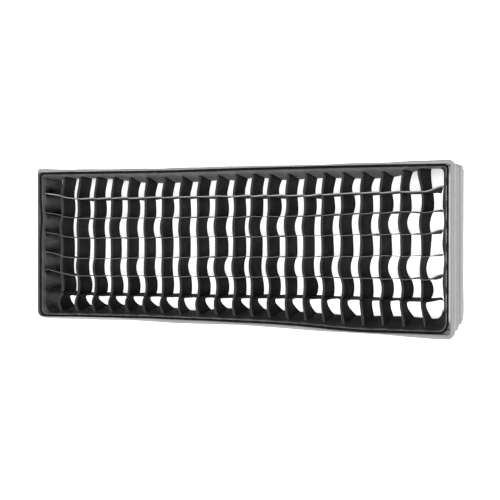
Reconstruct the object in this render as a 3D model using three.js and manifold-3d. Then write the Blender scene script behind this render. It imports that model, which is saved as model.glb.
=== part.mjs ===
// Strip softbox: a fabric shell bowed out by four rods on a rotating bayonet speedring,
// with an inner baffle, a front diffuser and a black egg-crate grid set in the front lip.
// Millimetres. +Z up, the front opening faces -Y, and the lamp bolts on at y = 0.
import * as THREE from 'three';
import { mergeVertices } from 'three/addons/utils/BufferGeometryUtils.js';
import Module from 'manifold-3d';

// Overall size
const FRONT_HALF_W = 600;
const FRONT_HALF_H = 200;
const SHELL_DEPTH = 400;
const RING_STANDOFF = 27;
const FRONT_Y = -(SHELL_DEPTH + RING_STANDOFF);

// Shell
const LIP_DEPTH = 80;
const LIP_THICK = 1.8;
const PANEL_THICK = 1.5;
const REAR_HALF = 84;
const PANEL_STATIONS = 14;
const BOW_START_DEG = 8;
const BOW_END_DEG = 75;
const BOW_START_PULL = 170;
const BOW_END_PULL = 260;
const SEAM_GAP = 0.4;
const COLLAR_THICK = 1.5;
const COLLAR_HOLE_R = 76.8;

// Rods
const ROD_R = 2.5;
const ROD_BORE_R = 2.9;
const ROD_INSET_FRONT = 6.2;
const ROD_INSET_REAR = 7.5;
const ROD_SIDES = 8;
const ROD_POINTS = 16;
const POCKET_DEPTH = 24;
const POCKET_LEG = 16;
const POCKET_WALL = 6;
const POCKET_START = 3;
const POCKET_GAP = 1;

// Speedring and bayonet
const INSERT_BORE_R = 44;
const INSERT_R = 50;
const INSERT_FLANGE_R = 66;
const INSERT_SHANK = 9;
const INSERT_LENGTH = 42;
const LUG_R = 54;
const LUG_BACK = -0.5;
const LUG_FRONT = -3.5;
const LUG_COUNT = 3;
const LUG_ARC_DEG = 34;
const SPEEDRING_BORE_R = 50.5;
const SPEEDRING_R = 76;
const SPEEDRING_BACK = -12;
const SPEEDRING_FRONT = -34;
const ARM_BACK = -28.5;
const RETAINER_R = 64;
const RETAINER_THICK = 3;
const RUN_GAP = 0.3;
const RING_SEGMENTS = 64;
const SOCKET_R = 6;
const SOCKET_BACK = 12;
const SOCKET_FRONT = 24;
const ROD_SEATED = 7;

// Locking knob, on the lower side of the speedring
const KNOB_Y = -17;
const KNOB_HEAD_R = 9;
const KNOB_HEAD_START = 86;
const KNOB_HEAD_END = 104;
const KNOB_LOBES = 8;
const STUD_R = 3;
const STUD_TIP = 51.5;
const STUD_HOLE_R = 3.4;

// Inner baffle
const BAFFLE_DEPTH = 214;
const BAFFLE_HALF_W = 410;
const BAFFLE_HALF_H = 122;
const BAFFLE_THICK = 1.5;
const TAB_HALF_WIDTH = 9;
const TAB_END_X = 492;
const TAB_END_Z = 160;

// Front diffuser and the tapes round the lip
const DIFFUSER_DEPTH = 80.6;
const DIFFUSER_THICK = 1.5;
const TAPE_FRONT = 50;
const TAPE_BACK = 79;
const TAPE_THICK = 1;
const BAND_FRONT = 54;
const BAND_THICK = 1.2;
const TAPE_CORNER_R = 17;
const CLOTH_GAP = 0.4;

// Egg-crate grid
const RIM_HALF_W = 591;
const RIM_HALF_H = 197.5;
const RIM_ROD_R = 3;
const RIM_CORNER_R = 15;
const RIM_DEPTH = 5;
const RIM_SIDES = 8;
const ARC_STEPS = 6;
const SKIRT_SLOPE_IN = 32;
const SKIRT_THICK = 1.2;
const GRID_BACK = 78;
const STRIP_FRONT = 13;
const STRIP_THICK = 1.2;
const COLUMN_PITCH = 52;
const COLUMN_STRIPS = 21;
const ROW_STRIPS = 6;
const SLOT_GAP = 0.3;

const wasm = await Module();
wasm.setup();

const COLOURS = {
  shell: 0x9a9b9c,
  black: 0x1a1a1b,
  white: 0xf0f0ec,
  metal: 0xb4b6b9,
  steel: 0x7d7f82,
  rod: 0x2b2c2e,
  plastic: 0x202022,
};
const group = new THREE.Group();
group.name = 'strip_softbox';

const yAt = (depth) => FRONT_Y + depth;
const point = (x, depth, z) => new THREE.Vector3(x, yAt(depth), z);

function addMesh(name, geometry, colour) {
  const material = new THREE.MeshStandardMaterial({ color: COLOURS[colour], roughness: 0.8 });
  material.name = `${name}_material`;
  const mesh = new THREE.Mesh(geometry, material);
  mesh.name = name;
  group.add(mesh);
}

function signedVolume(positions, index) {
  let sum = 0;
  const corner = (k) => new THREE.Vector3().fromArray(positions, 3 * index[k]);
  for (let k = 0; k < index.length; k += 3) {
    sum += corner(k).dot(corner(k + 1).cross(corner(k + 2)));
  }
  return sum;
}

function solidFrom(positions, index) {
  const outward = signedVolume(positions, index) > 0 ? index : index.slice().reverse();
  const geometry = new THREE.BufferGeometry();
  geometry.setAttribute('position', new THREE.Float32BufferAttribute(positions, 3));
  geometry.setIndex(outward);
  geometry.computeVertexNormals();
  return geometry;
}

// Closed solid through a row of equal loops of points, with flat ends.
function loft(sections) {
  const size = sections[0].length;
  const positions = sections.flat().flatMap((p) => [p.x, p.y, p.z]);
  const index = [];
  for (let s = 0; s + 1 < sections.length; s += 1) {
    for (let k = 0; k < size; k += 1) {
      const a = s * size + k;
      const b = s * size + ((k + 1) % size);
      index.push(a, b, b + size, a, b + size, a + size);
    }
  }
  const last = (sections.length - 1) * size;
  for (let k = 1; k + 1 < size; k += 1) {
    index.push(0, k + 1, k);
    index.push(last, last + k, last + k + 1);
  }
  return solidFrom(positions, index);
}

// Flat sheet: an outline in its own plane, pushed out by its thickness.
function sheet(outline, thickness, place) {
  const shape = new THREE.Shape(outline.map(([a, b]) => new THREE.Vector2(a, b)));
  const raw = new THREE.ExtrudeGeometry(shape, { depth: thickness, bevelEnabled: false });
  return mapped(raw, place);
}

function mapped(raw, place) {
  raw.deleteAttribute('normal');
  raw.deleteAttribute('uv');
  const merged = mergeVertices(raw, 1e-4);
  const source = merged.getAttribute('position');
  const positions = [];
  for (let k = 0; k < source.count; k += 1) {
    const p = place(source.getX(k), source.getY(k), source.getZ(k));
    positions.push(p.x, p.y, p.z);
  }
  return solidFrom(positions, Array.from(merged.getIndex().array));
}

function toManifold(geometry) {
  const bare = geometry.clone();
  bare.deleteAttribute('normal');
  bare.deleteAttribute('uv');
  const merged = mergeVertices(bare, 1e-4);
  return new wasm.Manifold(new wasm.Mesh({
    numProp: 3,
    vertProperties: new Float32Array(merged.getAttribute('position').array),
    triVerts: new Uint32Array(merged.getIndex().array),
  }));
}

function fromManifold(solid) {
  const out = solid.getMesh();
  const positions = [];
  for (let k = 0; k < out.vertProperties.length; k += out.numProp) {
    positions.push(out.vertProperties[k], out.vertProperties[k + 1], out.vertProperties[k + 2]);
  }
  return solidFrom(positions, Array.from(out.triVerts));
}

// Round tube or rod of a set radius along a row of points; `side` is never along the path.
function sweep(path, radius, sides, side) {
  const sections = path.map((p, k) => {
    const ahead = path[Math.min(k + 1, path.length - 1)];
    const behind = path[Math.max(k - 1, 0)];
    const along = ahead.clone().sub(behind).normalize();
    const u = side.clone().addScaledVector(along, -side.dot(along)).normalize();
    const w = along.clone().cross(u);
    return Array.from({ length: sides }, (_, j) => {
      const angle = (2 * Math.PI * (j + 0.5)) / sides;
      return p.clone()
        .addScaledVector(u, radius * Math.cos(angle))
        .addScaledVector(w, radius * Math.sin(angle));
    });
  });
  return loft(sections);
}

function cylinder(from, to, radius, sides) {
  const along = to.clone().sub(from).normalize();
  const side = Math.abs(along.z) < 0.9 ? new THREE.Vector3(0, 0, 1) : new THREE.Vector3(1, 0, 0);
  return sweep([from, to], radius, sides, side);
}

// Ring turned about the Y axis from a closed profile of [radius, y].
function turned(profile) {
  const points = [...profile, profile[0]].map(([r, y]) => new THREE.Vector2(r, y));
  return mapped(new THREE.LatheGeometry(points, RING_SEGMENTS), (x, y, z) => new THREE.Vector3(x, y, z));
}

// The bowed wall line from the lip to the rear collar, as half-width, half-height and depth.
function bowPoint(t) {
  const start = THREE.MathUtils.degToRad(BOW_START_DEG);
  const end = THREE.MathUtils.degToRad(BOW_END_DEG);
  const curve = new THREE.CubicBezierCurve(
    new THREE.Vector2(FRONT_HALF_W, LIP_DEPTH),
    new THREE.Vector2(
      FRONT_HALF_W - BOW_START_PULL * Math.sin(start),
      LIP_DEPTH + BOW_START_PULL * Math.cos(start),
    ),
    new THREE.Vector2(
      REAR_HALF + BOW_END_PULL * Math.sin(end),
      SHELL_DEPTH - BOW_END_PULL * Math.cos(end),
    ),
    new THREE.Vector2(REAR_HALF, SHELL_DEPTH),
  );
  const at = curve.getPoint(t);
  const slope = curve.getTangent(t);
  const share = (FRONT_HALF_H - REAR_HALF) / (FRONT_HALF_W - REAR_HALF);
  return {
    x: at.x,
    z: REAR_HALF + share * (at.x - REAR_HALF),
    depth: at.y,
    leanX: Math.atan2(-slope.x, slope.y),
    leanZ: Math.atan2(-slope.x * share, slope.y),
  };
}

// The wall line at a depth, found by halving.
function wallAt(depth) {
  let low = 0;
  let high = 1;
  for (let k = 0; k < 30; k += 1) {
    const middle = (low + high) / 2;
    if (bowPoint(middle).depth < depth) {
      low = middle;
    } else {
      high = middle;
    }
  }
  return bowPoint(low);
}

const stations = Array.from({ length: PANEL_STATIONS + 1 }, (_, k) => bowPoint(k / PANEL_STATIONS));

function sidePanel(sign, width, thick, rows) {
  return loft(rows.map((row) => {
    const outer = sign * (row.x - width);
    const inner = sign * (row.x - width - thick / Math.cos(row.leanX));
    return [
      point(outer, row.depth, -row.z),
      point(outer, row.depth, row.z),
      point(inner, row.depth, row.z),
      point(inner, row.depth, -row.z),
    ];
  }));
}

function levelPanel(sign, thick, rows) {
  return loft(rows.map((row) => {
    const end = row.x - thick / Math.cos(row.leanX) - SEAM_GAP;
    const outer = sign * row.z;
    const inner = sign * (row.z - thick / Math.cos(row.leanZ));
    return [
      point(-end, row.depth, outer),
      point(end, row.depth, outer),
      point(end, row.depth, inner),
      point(-end, row.depth, inner),
    ];
  }));
}

function buildShell() {
  const lipRows = [0, LIP_DEPTH - SEAM_GAP].map((depth) => (
    { x: FRONT_HALF_W, z: FRONT_HALF_H, depth, leanX: 0, leanZ: 0 }
  ));
  addMesh('lip_right', sidePanel(1, 0, LIP_THICK, lipRows), 'shell');
  addMesh('lip_left', sidePanel(-1, 0, LIP_THICK, lipRows), 'shell');
  addMesh('lip_top', levelPanel(1, LIP_THICK, lipRows), 'shell');
  addMesh('lip_bottom', levelPanel(-1, LIP_THICK, lipRows), 'shell');
  addMesh('panel_right', sidePanel(1, 0, PANEL_THICK, stations), 'shell');
  addMesh('panel_left', sidePanel(-1, 0, PANEL_THICK, stations), 'shell');
  addMesh('panel_top', levelPanel(1, PANEL_THICK, stations), 'shell');
  addMesh('panel_bottom', levelPanel(-1, PANEL_THICK, stations), 'shell');
  addMesh('rear_collar', buildCollar(), 'shell');
}

function buildCollar() {
  const shape = new THREE.Shape();
  shape.moveTo(-REAR_HALF, -REAR_HALF);
  shape.lineTo(REAR_HALF, -REAR_HALF);
  shape.lineTo(REAR_HALF, REAR_HALF);
  shape.lineTo(-REAR_HALF, REAR_HALF);
  const hole = new THREE.Path();
  hole.absarc(0, 0, COLLAR_HOLE_R, 0, 2 * Math.PI, true);
  shape.holes.push(hole);
  const raw = new THREE.ExtrudeGeometry(shape, {
    depth: COLLAR_THICK,
    bevelEnabled: false,
    curveSegments: RING_SEGMENTS / 2,
  });
  const start = SHELL_DEPTH + CLOTH_GAP;
  return mapped(raw, (a, b, c) => point(a, start + c, b));
}

// Centre line of the rod in the corner where x and z have the given signs.
function rodCentre(t, signX, signZ) {
  const row = bowPoint(t);
  const inset = THREE.MathUtils.lerp(ROD_INSET_FRONT, ROD_INSET_REAR, t);
  const x = row.x - inset * Math.cos(row.leanX);
  const z = row.z - inset * Math.cos(row.leanZ);
  const depth = row.depth - inset * (Math.sin(row.leanX) + Math.sin(row.leanZ));
  return point(signX * x, depth, signZ * z);
}

function rodPath(signX, signZ) {
  const path = [];
  for (let k = 0; k <= ROD_POINTS; k += 1) {
    path.push(rodCentre(k / ROD_POINTS, signX, signZ));
  }
  const along = path[ROD_POINTS].clone().sub(path[ROD_POINTS - 1]).normalize();
  path.push(path[ROD_POINTS].clone().addScaledVector(along, ROD_SEATED));
  return { path, along };
}

const CORNERS = [
  { name: 'top_right', signX: 1, signZ: 1 },
  { name: 'top_left', signX: -1, signZ: 1 },
  { name: 'bottom_left', signX: -1, signZ: -1 },
  { name: 'bottom_right', signX: 1, signZ: -1 },
];

function buildRods() {
  const side = new THREE.Vector3(0, 0, 1);
  for (const { name, signX, signZ } of CORNERS) {
    const { path } = rodPath(signX, signZ);
    const inwards = path[1].clone().sub(path[0]).normalize();
    path[0].addScaledVector(inwards, POCKET_WALL);
    addMesh(`rod_${name}`, sweep(path, ROD_R, ROD_SIDES, side), 'rod');
  }
}

// Corner pocket: a three-sided cap with a blind hole for the rod's tip.
function buildPockets() {
  for (const { name, signX, signZ } of CORNERS) {
    const front = stations[0].depth + POCKET_START;
    const rows = [front, front + POCKET_DEPTH].map((depth) => {
      const wall = wallAt(depth);
      const x = wall.x - PANEL_THICK - POCKET_GAP;
      const z = wall.z - PANEL_THICK - POCKET_GAP;
      return [
        point(signX * x, depth, signZ * z),
        point(signX * x, depth, signZ * (z - POCKET_LEG)),
        point(signX * (x - POCKET_LEG), depth, signZ * z),
      ];
    });
    const { path } = rodPath(signX, signZ);
    const along = path[1].clone().sub(path[0]).normalize();
    const holeStart = path[0].clone().addScaledVector(along, POCKET_WALL - CLOTH_GAP);
    const holeEnd = path[0].clone().addScaledVector(along, POCKET_DEPTH + 20);
    const hole = cylinder(holeStart, holeEnd, ROD_BORE_R, 12);
    const cap = toManifold(loft(rows)).subtract(toManifold(hole));
    addMesh(`tip_pocket_${name}`, fromManifold(cap), 'black');
  }
}

function buildInsert() {
  let insert = toManifold(turned([
    [INSERT_BORE_R, 0],
    [INSERT_R, 0],
    [INSERT_R, -INSERT_SHANK],
    [INSERT_FLANGE_R, -INSERT_SHANK],
    [INSERT_FLANGE_R, SPEEDRING_BACK + RUN_GAP],
    [INSERT_R, SPEEDRING_BACK + RUN_GAP],
    [INSERT_R, -INSERT_LENGTH],
    [INSERT_BORE_R, -INSERT_LENGTH],
  ]));
  for (let k = 0; k < LUG_COUNT; k += 1) {
    const middle = (360 / LUG_COUNT) * k + 90;
    insert = insert.add(toManifold(arcBlock(
      INSERT_R - 2, LUG_R, middle - LUG_ARC_DEG / 2, middle + LUG_ARC_DEG / 2, LUG_FRONT, LUG_BACK,
    )));
  }
  addMesh('bayonet_insert', fromManifold(insert), 'steel');
}

// Block between two radii and two angles about the Y axis, from y0 up to y1.
function arcBlock(r0, r1, fromDeg, toDeg, y0, y1) {
  const steps = 6;
  const sections = Array.from({ length: steps + 1 }, (_, k) => {
    const angle = THREE.MathUtils.degToRad(THREE.MathUtils.lerp(fromDeg, toDeg, k / steps));
    const at = (r, y) => new THREE.Vector3(r * Math.cos(angle), y, r * Math.sin(angle));
    return [at(r0, y0), at(r1, y0), at(r1, y1), at(r0, y1)];
  });
  return loft(sections);
}

function buildRetainer() {
  const back = SPEEDRING_FRONT - RUN_GAP;
  const front = back - RETAINER_THICK;
  let ring = toManifold(turned([
    [INSERT_R + RUN_GAP, back],
    [RETAINER_R, back],
    [RETAINER_R, front + 1],
    [RETAINER_R - 1, front],
    [INSERT_R + RUN_GAP, front],
  ]));
  for (let k = 0; k < 4; k += 1) {
    ring = ring.subtract(toManifold(arcBlock(
      RETAINER_R - 4, RETAINER_R + 3, 90 * k + 41, 90 * k + 49, front - 1, back + 1,
    )));
  }
  addMesh('retaining_ring', fromManifold(ring), 'steel');
}

function buildSpeedring() {
  let ring = toManifold(turned([
    [SPEEDRING_BORE_R, SPEEDRING_BACK],
    [SPEEDRING_R - 1.5, SPEEDRING_BACK],
    [SPEEDRING_R, SPEEDRING_BACK - 1.5],
    [SPEEDRING_R, SPEEDRING_FRONT + 1.5],
    [SPEEDRING_R - 1.5, SPEEDRING_FRONT],
    [SPEEDRING_BORE_R, SPEEDRING_FRONT],
  ]));
  const bores = [];
  for (const { signX, signZ } of CORNERS) {
    const { path, along } = rodPath(signX, signZ);
    const seat = path[ROD_POINTS];
    const back = seat.clone().addScaledVector(along, SOCKET_BACK);
    const front = seat.clone().addScaledVector(along, -SOCKET_FRONT);
    ring = ring.add(toManifold(socketArm(seat, signX, signZ)));
    ring = ring.add(toManifold(cylinder(back, front, SOCKET_R, 16)));
    const boreEnd = seat.clone().addScaledVector(along, ROD_SEATED + 0.6);
    const boreMouth = seat.clone().addScaledVector(along, -SOCKET_FRONT - 30);
    bores.push(toManifold(cylinder(boreEnd, boreMouth, ROD_BORE_R, 12)));
  }
  for (const bore of bores) {
    ring = ring.subtract(bore);
  }
  const studHole = cylinder(
    new THREE.Vector3(0, KNOB_Y, -SPEEDRING_BORE_R + 6),
    new THREE.Vector3(0, KNOB_Y, -SPEEDRING_R - 5),
    STUD_HOLE_R,
    16,
  );
  ring = ring.subtract(toManifold(studHole));
  addMesh('speedring', fromManifold(ring), 'metal');
}

// Cast arm from the ring's outside to the rod socket.
function socketArm(seat, signX, signZ) {
  const halfWidth = 5;
  const outward = new THREE.Vector3(signX, 0, signZ).normalize();
  const across = new THREE.Vector3(signX, 0, -signZ).normalize();
  const reach = seat.x * outward.x + seat.z * outward.z;
  const start = SPEEDRING_R - 6;
  const rows = [[start, ARM_BACK, SPEEDRING_FRONT], [reach, seat.y + 3, seat.y - 3]];
  const sideways = seat.x * across.x + seat.z * across.z;
  return loft(rows.map(([radius, back, front], k) => {
    const at = (shift, y) => outward.clone().multiplyScalar(radius)
      .addScaledVector(across, shift + k * sideways)
      .setY(y);
    return [at(-halfWidth, back), at(halfWidth, back), at(halfWidth, front), at(-halfWidth, front)];
  }));
}

function buildKnob() {
  const centre = (z) => new THREE.Vector3(0, KNOB_Y, -z);
  const lobed = (z, grow) => Array.from({ length: KNOB_LOBES * 4 }, (_, k) => {
    const angle = (2 * Math.PI * k) / (KNOB_LOBES * 4);
    const radius = KNOB_HEAD_R - 0.7 + 0.6 * Math.cos(KNOB_LOBES * angle) - grow;
    return centre(z).add(new THREE.Vector3(radius * Math.cos(angle), radius * Math.sin(angle), 0));
  });
  const head = loft([
    lobed(KNOB_HEAD_START, 1.5),
    lobed(KNOB_HEAD_START + 1.5, 0),
    lobed(KNOB_HEAD_END - 2, 0),
    lobed(KNOB_HEAD_END, 2),
  ]);
  const stud = cylinder(centre(STUD_TIP), centre(KNOB_HEAD_START + 4), STUD_R, 16);
  addMesh('locking_knob', fromManifold(toManifold(head).add(toManifold(stud))), 'plastic');
}

function buildBaffle() {
  const tab = (signX, signZ) => {
    const corner = [signX * BAFFLE_HALF_W, signZ * BAFFLE_HALF_H];
    const along = new THREE.Vector2(signX * (TAB_END_X - BAFFLE_HALF_W), signZ * (TAB_END_Z - BAFFLE_HALF_H));
    along.normalize();
    const left = [-along.y * TAB_HALF_WIDTH, along.x * TAB_HALF_WIDTH];
    const end = [signX * TAB_END_X, signZ * TAB_END_Z];
    const base = [corner[0] - along.x * TAB_HALF_WIDTH * 1.2, corner[1] - along.y * TAB_HALF_WIDTH * 1.2];
    const shifted = (p, k) => [p[0] + k * left[0], p[1] + k * left[1]];
    return [shifted(base, -1), shifted(end, -1), shifted(end, 1), shifted(base, 1)];
  };
  const place = (a, b, c) => point(a, BAFFLE_DEPTH + c, b);
  const w = BAFFLE_HALF_W;
  const h = BAFFLE_HALF_H;
  let cloth = toManifold(sheet([[-w, -h], [w, -h], [w, h], [-w, h]], BAFFLE_THICK, place));
  for (const { signX, signZ } of CORNERS) {
    cloth = cloth.add(toManifold(sheet(tab(signX, signZ), BAFFLE_THICK, place)));
  }
  addMesh('inner_baffle', fromManifold(cloth), 'white');
}

// One straight side and the corner after it, of a rounded rectangle, as [x, z] points.
function sideAndCorner(k, halfW, halfH, radius, trim) {
  const turn = (k * Math.PI) / 2;
  const along = k % 2 === 0 ? halfH : halfW;
  const out = k % 2 === 0 ? halfW : halfH;
  const local = [[out, -(along - radius) + trim]];
  for (let j = 0; j <= ARC_STEPS; j += 1) {
    const angle = (Math.PI / 2) * (j / ARC_STEPS);
    local.push([out - radius + radius * Math.cos(angle), along - radius + radius * Math.sin(angle)]);
  }
  return local.map(([a, b]) => [
    a * Math.round(Math.cos(turn)) - b * Math.round(Math.sin(turn)),
    a * Math.round(Math.sin(turn)) + b * Math.round(Math.cos(turn)),
  ]);
}

function roundedLoop(halfW, halfH, radius) {
  return [0, 1, 2, 3].flatMap((k) => sideAndCorner(k, halfW, halfH, radius, 0));
}

const SIDE_NAMES = ['right', 'top', 'left', 'bottom'];

// Thin ring standing on edge all round, such as a tape.
function standingRing(halfW, halfH, radius, thick, front, back) {
  const outer = roundedLoop(halfW, halfH, radius);
  const inner = roundedLoop(halfW - thick, halfH - thick, radius - thick);
  const count = outer.length;
  const rings = [
    outer.map(([x, z]) => point(x, front, z)),
    outer.map(([x, z]) => point(x, back, z)),
    inner.map(([x, z]) => point(x, back, z)),
    inner.map(([x, z]) => point(x, front, z)),
  ];
  const positions = rings.flat().flatMap((p) => [p.x, p.y, p.z]);
  const index = [];
  for (let r = 0; r < 4; r += 1) {
    for (let k = 0; k < count; k += 1) {
      const a = r * count + k;
      const b = r * count + ((k + 1) % count);
      const c = ((r + 1) % 4) * count + k;
      const d = ((r + 1) % 4) * count + ((k + 1) % count);
      index.push(a, b, d, a, d, c);
    }
  }
  return solidFrom(positions, index);
}

function buildDiffuser() {
  const tapeHalfW = FRONT_HALF_W - LIP_THICK - CLOTH_GAP;
  const tapeHalfH = FRONT_HALF_H - LIP_THICK - CLOTH_GAP;
  addMesh(
    'loop_tape',
    standingRing(tapeHalfW, tapeHalfH, TAPE_CORNER_R, TAPE_THICK, TAPE_FRONT, TAPE_BACK),
    'black',
  );
  const bandHalfW = tapeHalfW - TAPE_THICK - CLOTH_GAP;
  const bandHalfH = tapeHalfH - TAPE_THICK - CLOTH_GAP;
  const bandR = TAPE_CORNER_R - TAPE_THICK - CLOTH_GAP;
  addMesh(
    'diffuser_hook_band',
    standingRing(bandHalfW, bandHalfH, bandR, BAND_THICK, BAND_FRONT, DIFFUSER_DEPTH - CLOTH_GAP),
    'white',
  );
  const outline = roundedLoop(bandHalfW, bandHalfH, bandR);
  const cloth = sheet(outline, DIFFUSER_THICK, (a, b, c) => point(a, DIFFUSER_DEPTH + c, b));
  addMesh('front_diffuser', cloth, 'white');
}

function buildRim() {
  const side = new THREE.Vector3(0, 1, 0);
  for (let k = 0; k < 4; k += 1) {
    const line = sideAndCorner(k, RIM_HALF_W - RIM_ROD_R, RIM_HALF_H - RIM_ROD_R, RIM_CORNER_R, SEAM_GAP);
    const path = line.map(([x, z]) => point(x, RIM_DEPTH, z));
    addMesh(`grid_rim_${SIDE_NAMES[k]}`, sweep(path, RIM_ROD_R, RIM_SIDES, side), 'black');
  }
}

const SKIRT_HALF_W = RIM_HALF_W - 2 * RIM_ROD_R - CLOTH_GAP;
const SKIRT_HALF_H = RIM_HALF_H - 2 * RIM_ROD_R - CLOTH_GAP;
const SKIRT_R = RIM_CORNER_R - RIM_ROD_R - CLOTH_GAP;

function buildSkirts() {
  for (let k = 0; k < 4; k += 1) {
    const loopAt = (inset) => (
      sideAndCorner(k, SKIRT_HALF_W - inset, SKIRT_HALF_H - inset, SKIRT_R - inset / 8, SEAM_GAP)
    );
    const frontOut = loopAt(0);
    const frontIn = loopAt(SKIRT_THICK);
    const backOut = loopAt(SKIRT_SLOPE_IN);
    const backIn = loopAt(SKIRT_SLOPE_IN + SKIRT_THICK);
    const sections = frontOut.map((_, j) => [
      point(frontOut[j][0], RIM_DEPTH, frontOut[j][1]),
      point(backOut[j][0], GRID_BACK, backOut[j][1]),
      point(backIn[j][0], GRID_BACK, backIn[j][1]),
      point(frontIn[j][0], RIM_DEPTH, frontIn[j][1]),
    ]);
    addMesh(`grid_skirt_${SIDE_NAMES[k]}`, loft(sections), 'black');
  }
}

// How far a strip reaches from the middle at a depth, just short of the sloping skirt.
function reachAt(depth, half) {
  const slope = SKIRT_SLOPE_IN / (GRID_BACK - RIM_DEPTH);
  return half - slope * (depth - RIM_DEPTH) - SKIRT_THICK - CLOTH_GAP;
}

// Outline of a strip as [depth, along], with slots cut from one edge to half its depth.
function stripOutline(half, crossings, fromFront) {
  const middle = (STRIP_FRONT + GRID_BACK) / 2;
  const slotEnd = fromFront ? middle + SLOT_GAP / 2 : middle - SLOT_GAP / 2;
  const edge = fromFront ? STRIP_FRONT : GRID_BACK;
  const slotHalf = STRIP_THICK / 2 + SLOT_GAP;
  const slots = crossings.flatMap((at) => [
    [edge, at - slotHalf],
    [slotEnd, at - slotHalf],
    [slotEnd, at + slotHalf],
    [edge, at + slotHalf],
  ]);
  const far = fromFront ? GRID_BACK : STRIP_FRONT;
  return [
    [edge, -reachAt(edge, half)],
    ...slots,
    [edge, reachAt(edge, half)],
    [far, reachAt(far, half)],
    [far, -reachAt(far, half)],
  ];
}

function evenly(count, pitch) {
  return Array.from({ length: count }, (_, k) => (k - (count - 1) / 2) * pitch);
}

function buildStrips() {
  const columns = evenly(COLUMN_STRIPS, COLUMN_PITCH);
  const rows = evenly(ROW_STRIPS, COLUMN_PITCH);
  columns.forEach((x, k) => {
    const outline = stripOutline(SKIRT_HALF_H, rows, true);
    const place = (depth, z, c) => point(x + c - STRIP_THICK / 2, depth, z);
    addMesh(`grid_column_${String(k + 1).padStart(2, '0')}`, sheet(outline, STRIP_THICK, place), 'black');
  });
  rows.forEach((z, k) => {
    const outline = stripOutline(SKIRT_HALF_W, columns, false);
    const place = (depth, x, c) => point(x, depth, z + c - STRIP_THICK / 2);
    addMesh(`grid_row_${k + 1}`, sheet(outline, STRIP_THICK, place), 'black');
  });
}

buildInsert();
buildRetainer();
buildSpeedring();
buildKnob();
buildShell();
buildRods();
buildPockets();
buildBaffle();
buildDiffuser();
buildRim();
buildSkirts();
buildStrips();

export default group;
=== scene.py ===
"""Strip softbox: the cloth, stitching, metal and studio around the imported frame."""
import math
import bpy
import numpy as np
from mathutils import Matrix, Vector


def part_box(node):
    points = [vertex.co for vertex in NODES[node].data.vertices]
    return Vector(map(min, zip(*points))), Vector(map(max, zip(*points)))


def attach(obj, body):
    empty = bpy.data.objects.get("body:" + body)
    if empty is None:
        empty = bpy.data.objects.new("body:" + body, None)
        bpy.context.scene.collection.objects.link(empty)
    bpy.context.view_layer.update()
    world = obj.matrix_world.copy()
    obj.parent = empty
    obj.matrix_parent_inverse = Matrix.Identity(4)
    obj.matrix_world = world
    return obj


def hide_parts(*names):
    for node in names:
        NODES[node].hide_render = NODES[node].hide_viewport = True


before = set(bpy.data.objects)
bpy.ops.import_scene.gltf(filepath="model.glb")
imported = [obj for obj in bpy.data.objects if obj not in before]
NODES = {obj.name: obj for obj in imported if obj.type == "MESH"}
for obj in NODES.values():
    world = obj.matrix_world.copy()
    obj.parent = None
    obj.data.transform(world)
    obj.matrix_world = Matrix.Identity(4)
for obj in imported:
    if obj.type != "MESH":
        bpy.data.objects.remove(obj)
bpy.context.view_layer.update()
MM = 0.001
FRONT_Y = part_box("lip_top")[0][1]
SIDES = ("right", "top", "left", "bottom")
LEFT = SIDES.index("left")
PITCH = 52.0
COLUMNS = 21
ROWS = 6
CORNERS = (("top_right", 1, 1), ("top_left", -1, 1), ("bottom_left", -1, -1), ("bottom_right", 1, -1))


# ---------------- camera
def make_camera():
    """The photograph's viewing angle: from the right of the front's normal, almost level."""
    data = bpy.data.cameras.new("camera")
    cam = bpy.data.objects.new("camera", data)
    bpy.context.scene.collection.objects.link(cam)
    data.sensor_width = 36.0
    data.lens = LENS_MM
    cam.location = CAMERA_AT
    cam.rotation_euler = (math.radians(90 - CAMERA_DOWN_DEG), 0, math.radians(CAMERA_TURN_DEG))
    data.clip_end = 60
    bpy.context.scene.camera = cam


LENS_MM = 118.4
CAMERA_AT = (2.024, -4.104, 0.012)
CAMERA_TURN_DEG = 28.11
CAMERA_DOWN_DEG = 0.28
make_camera()


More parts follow.
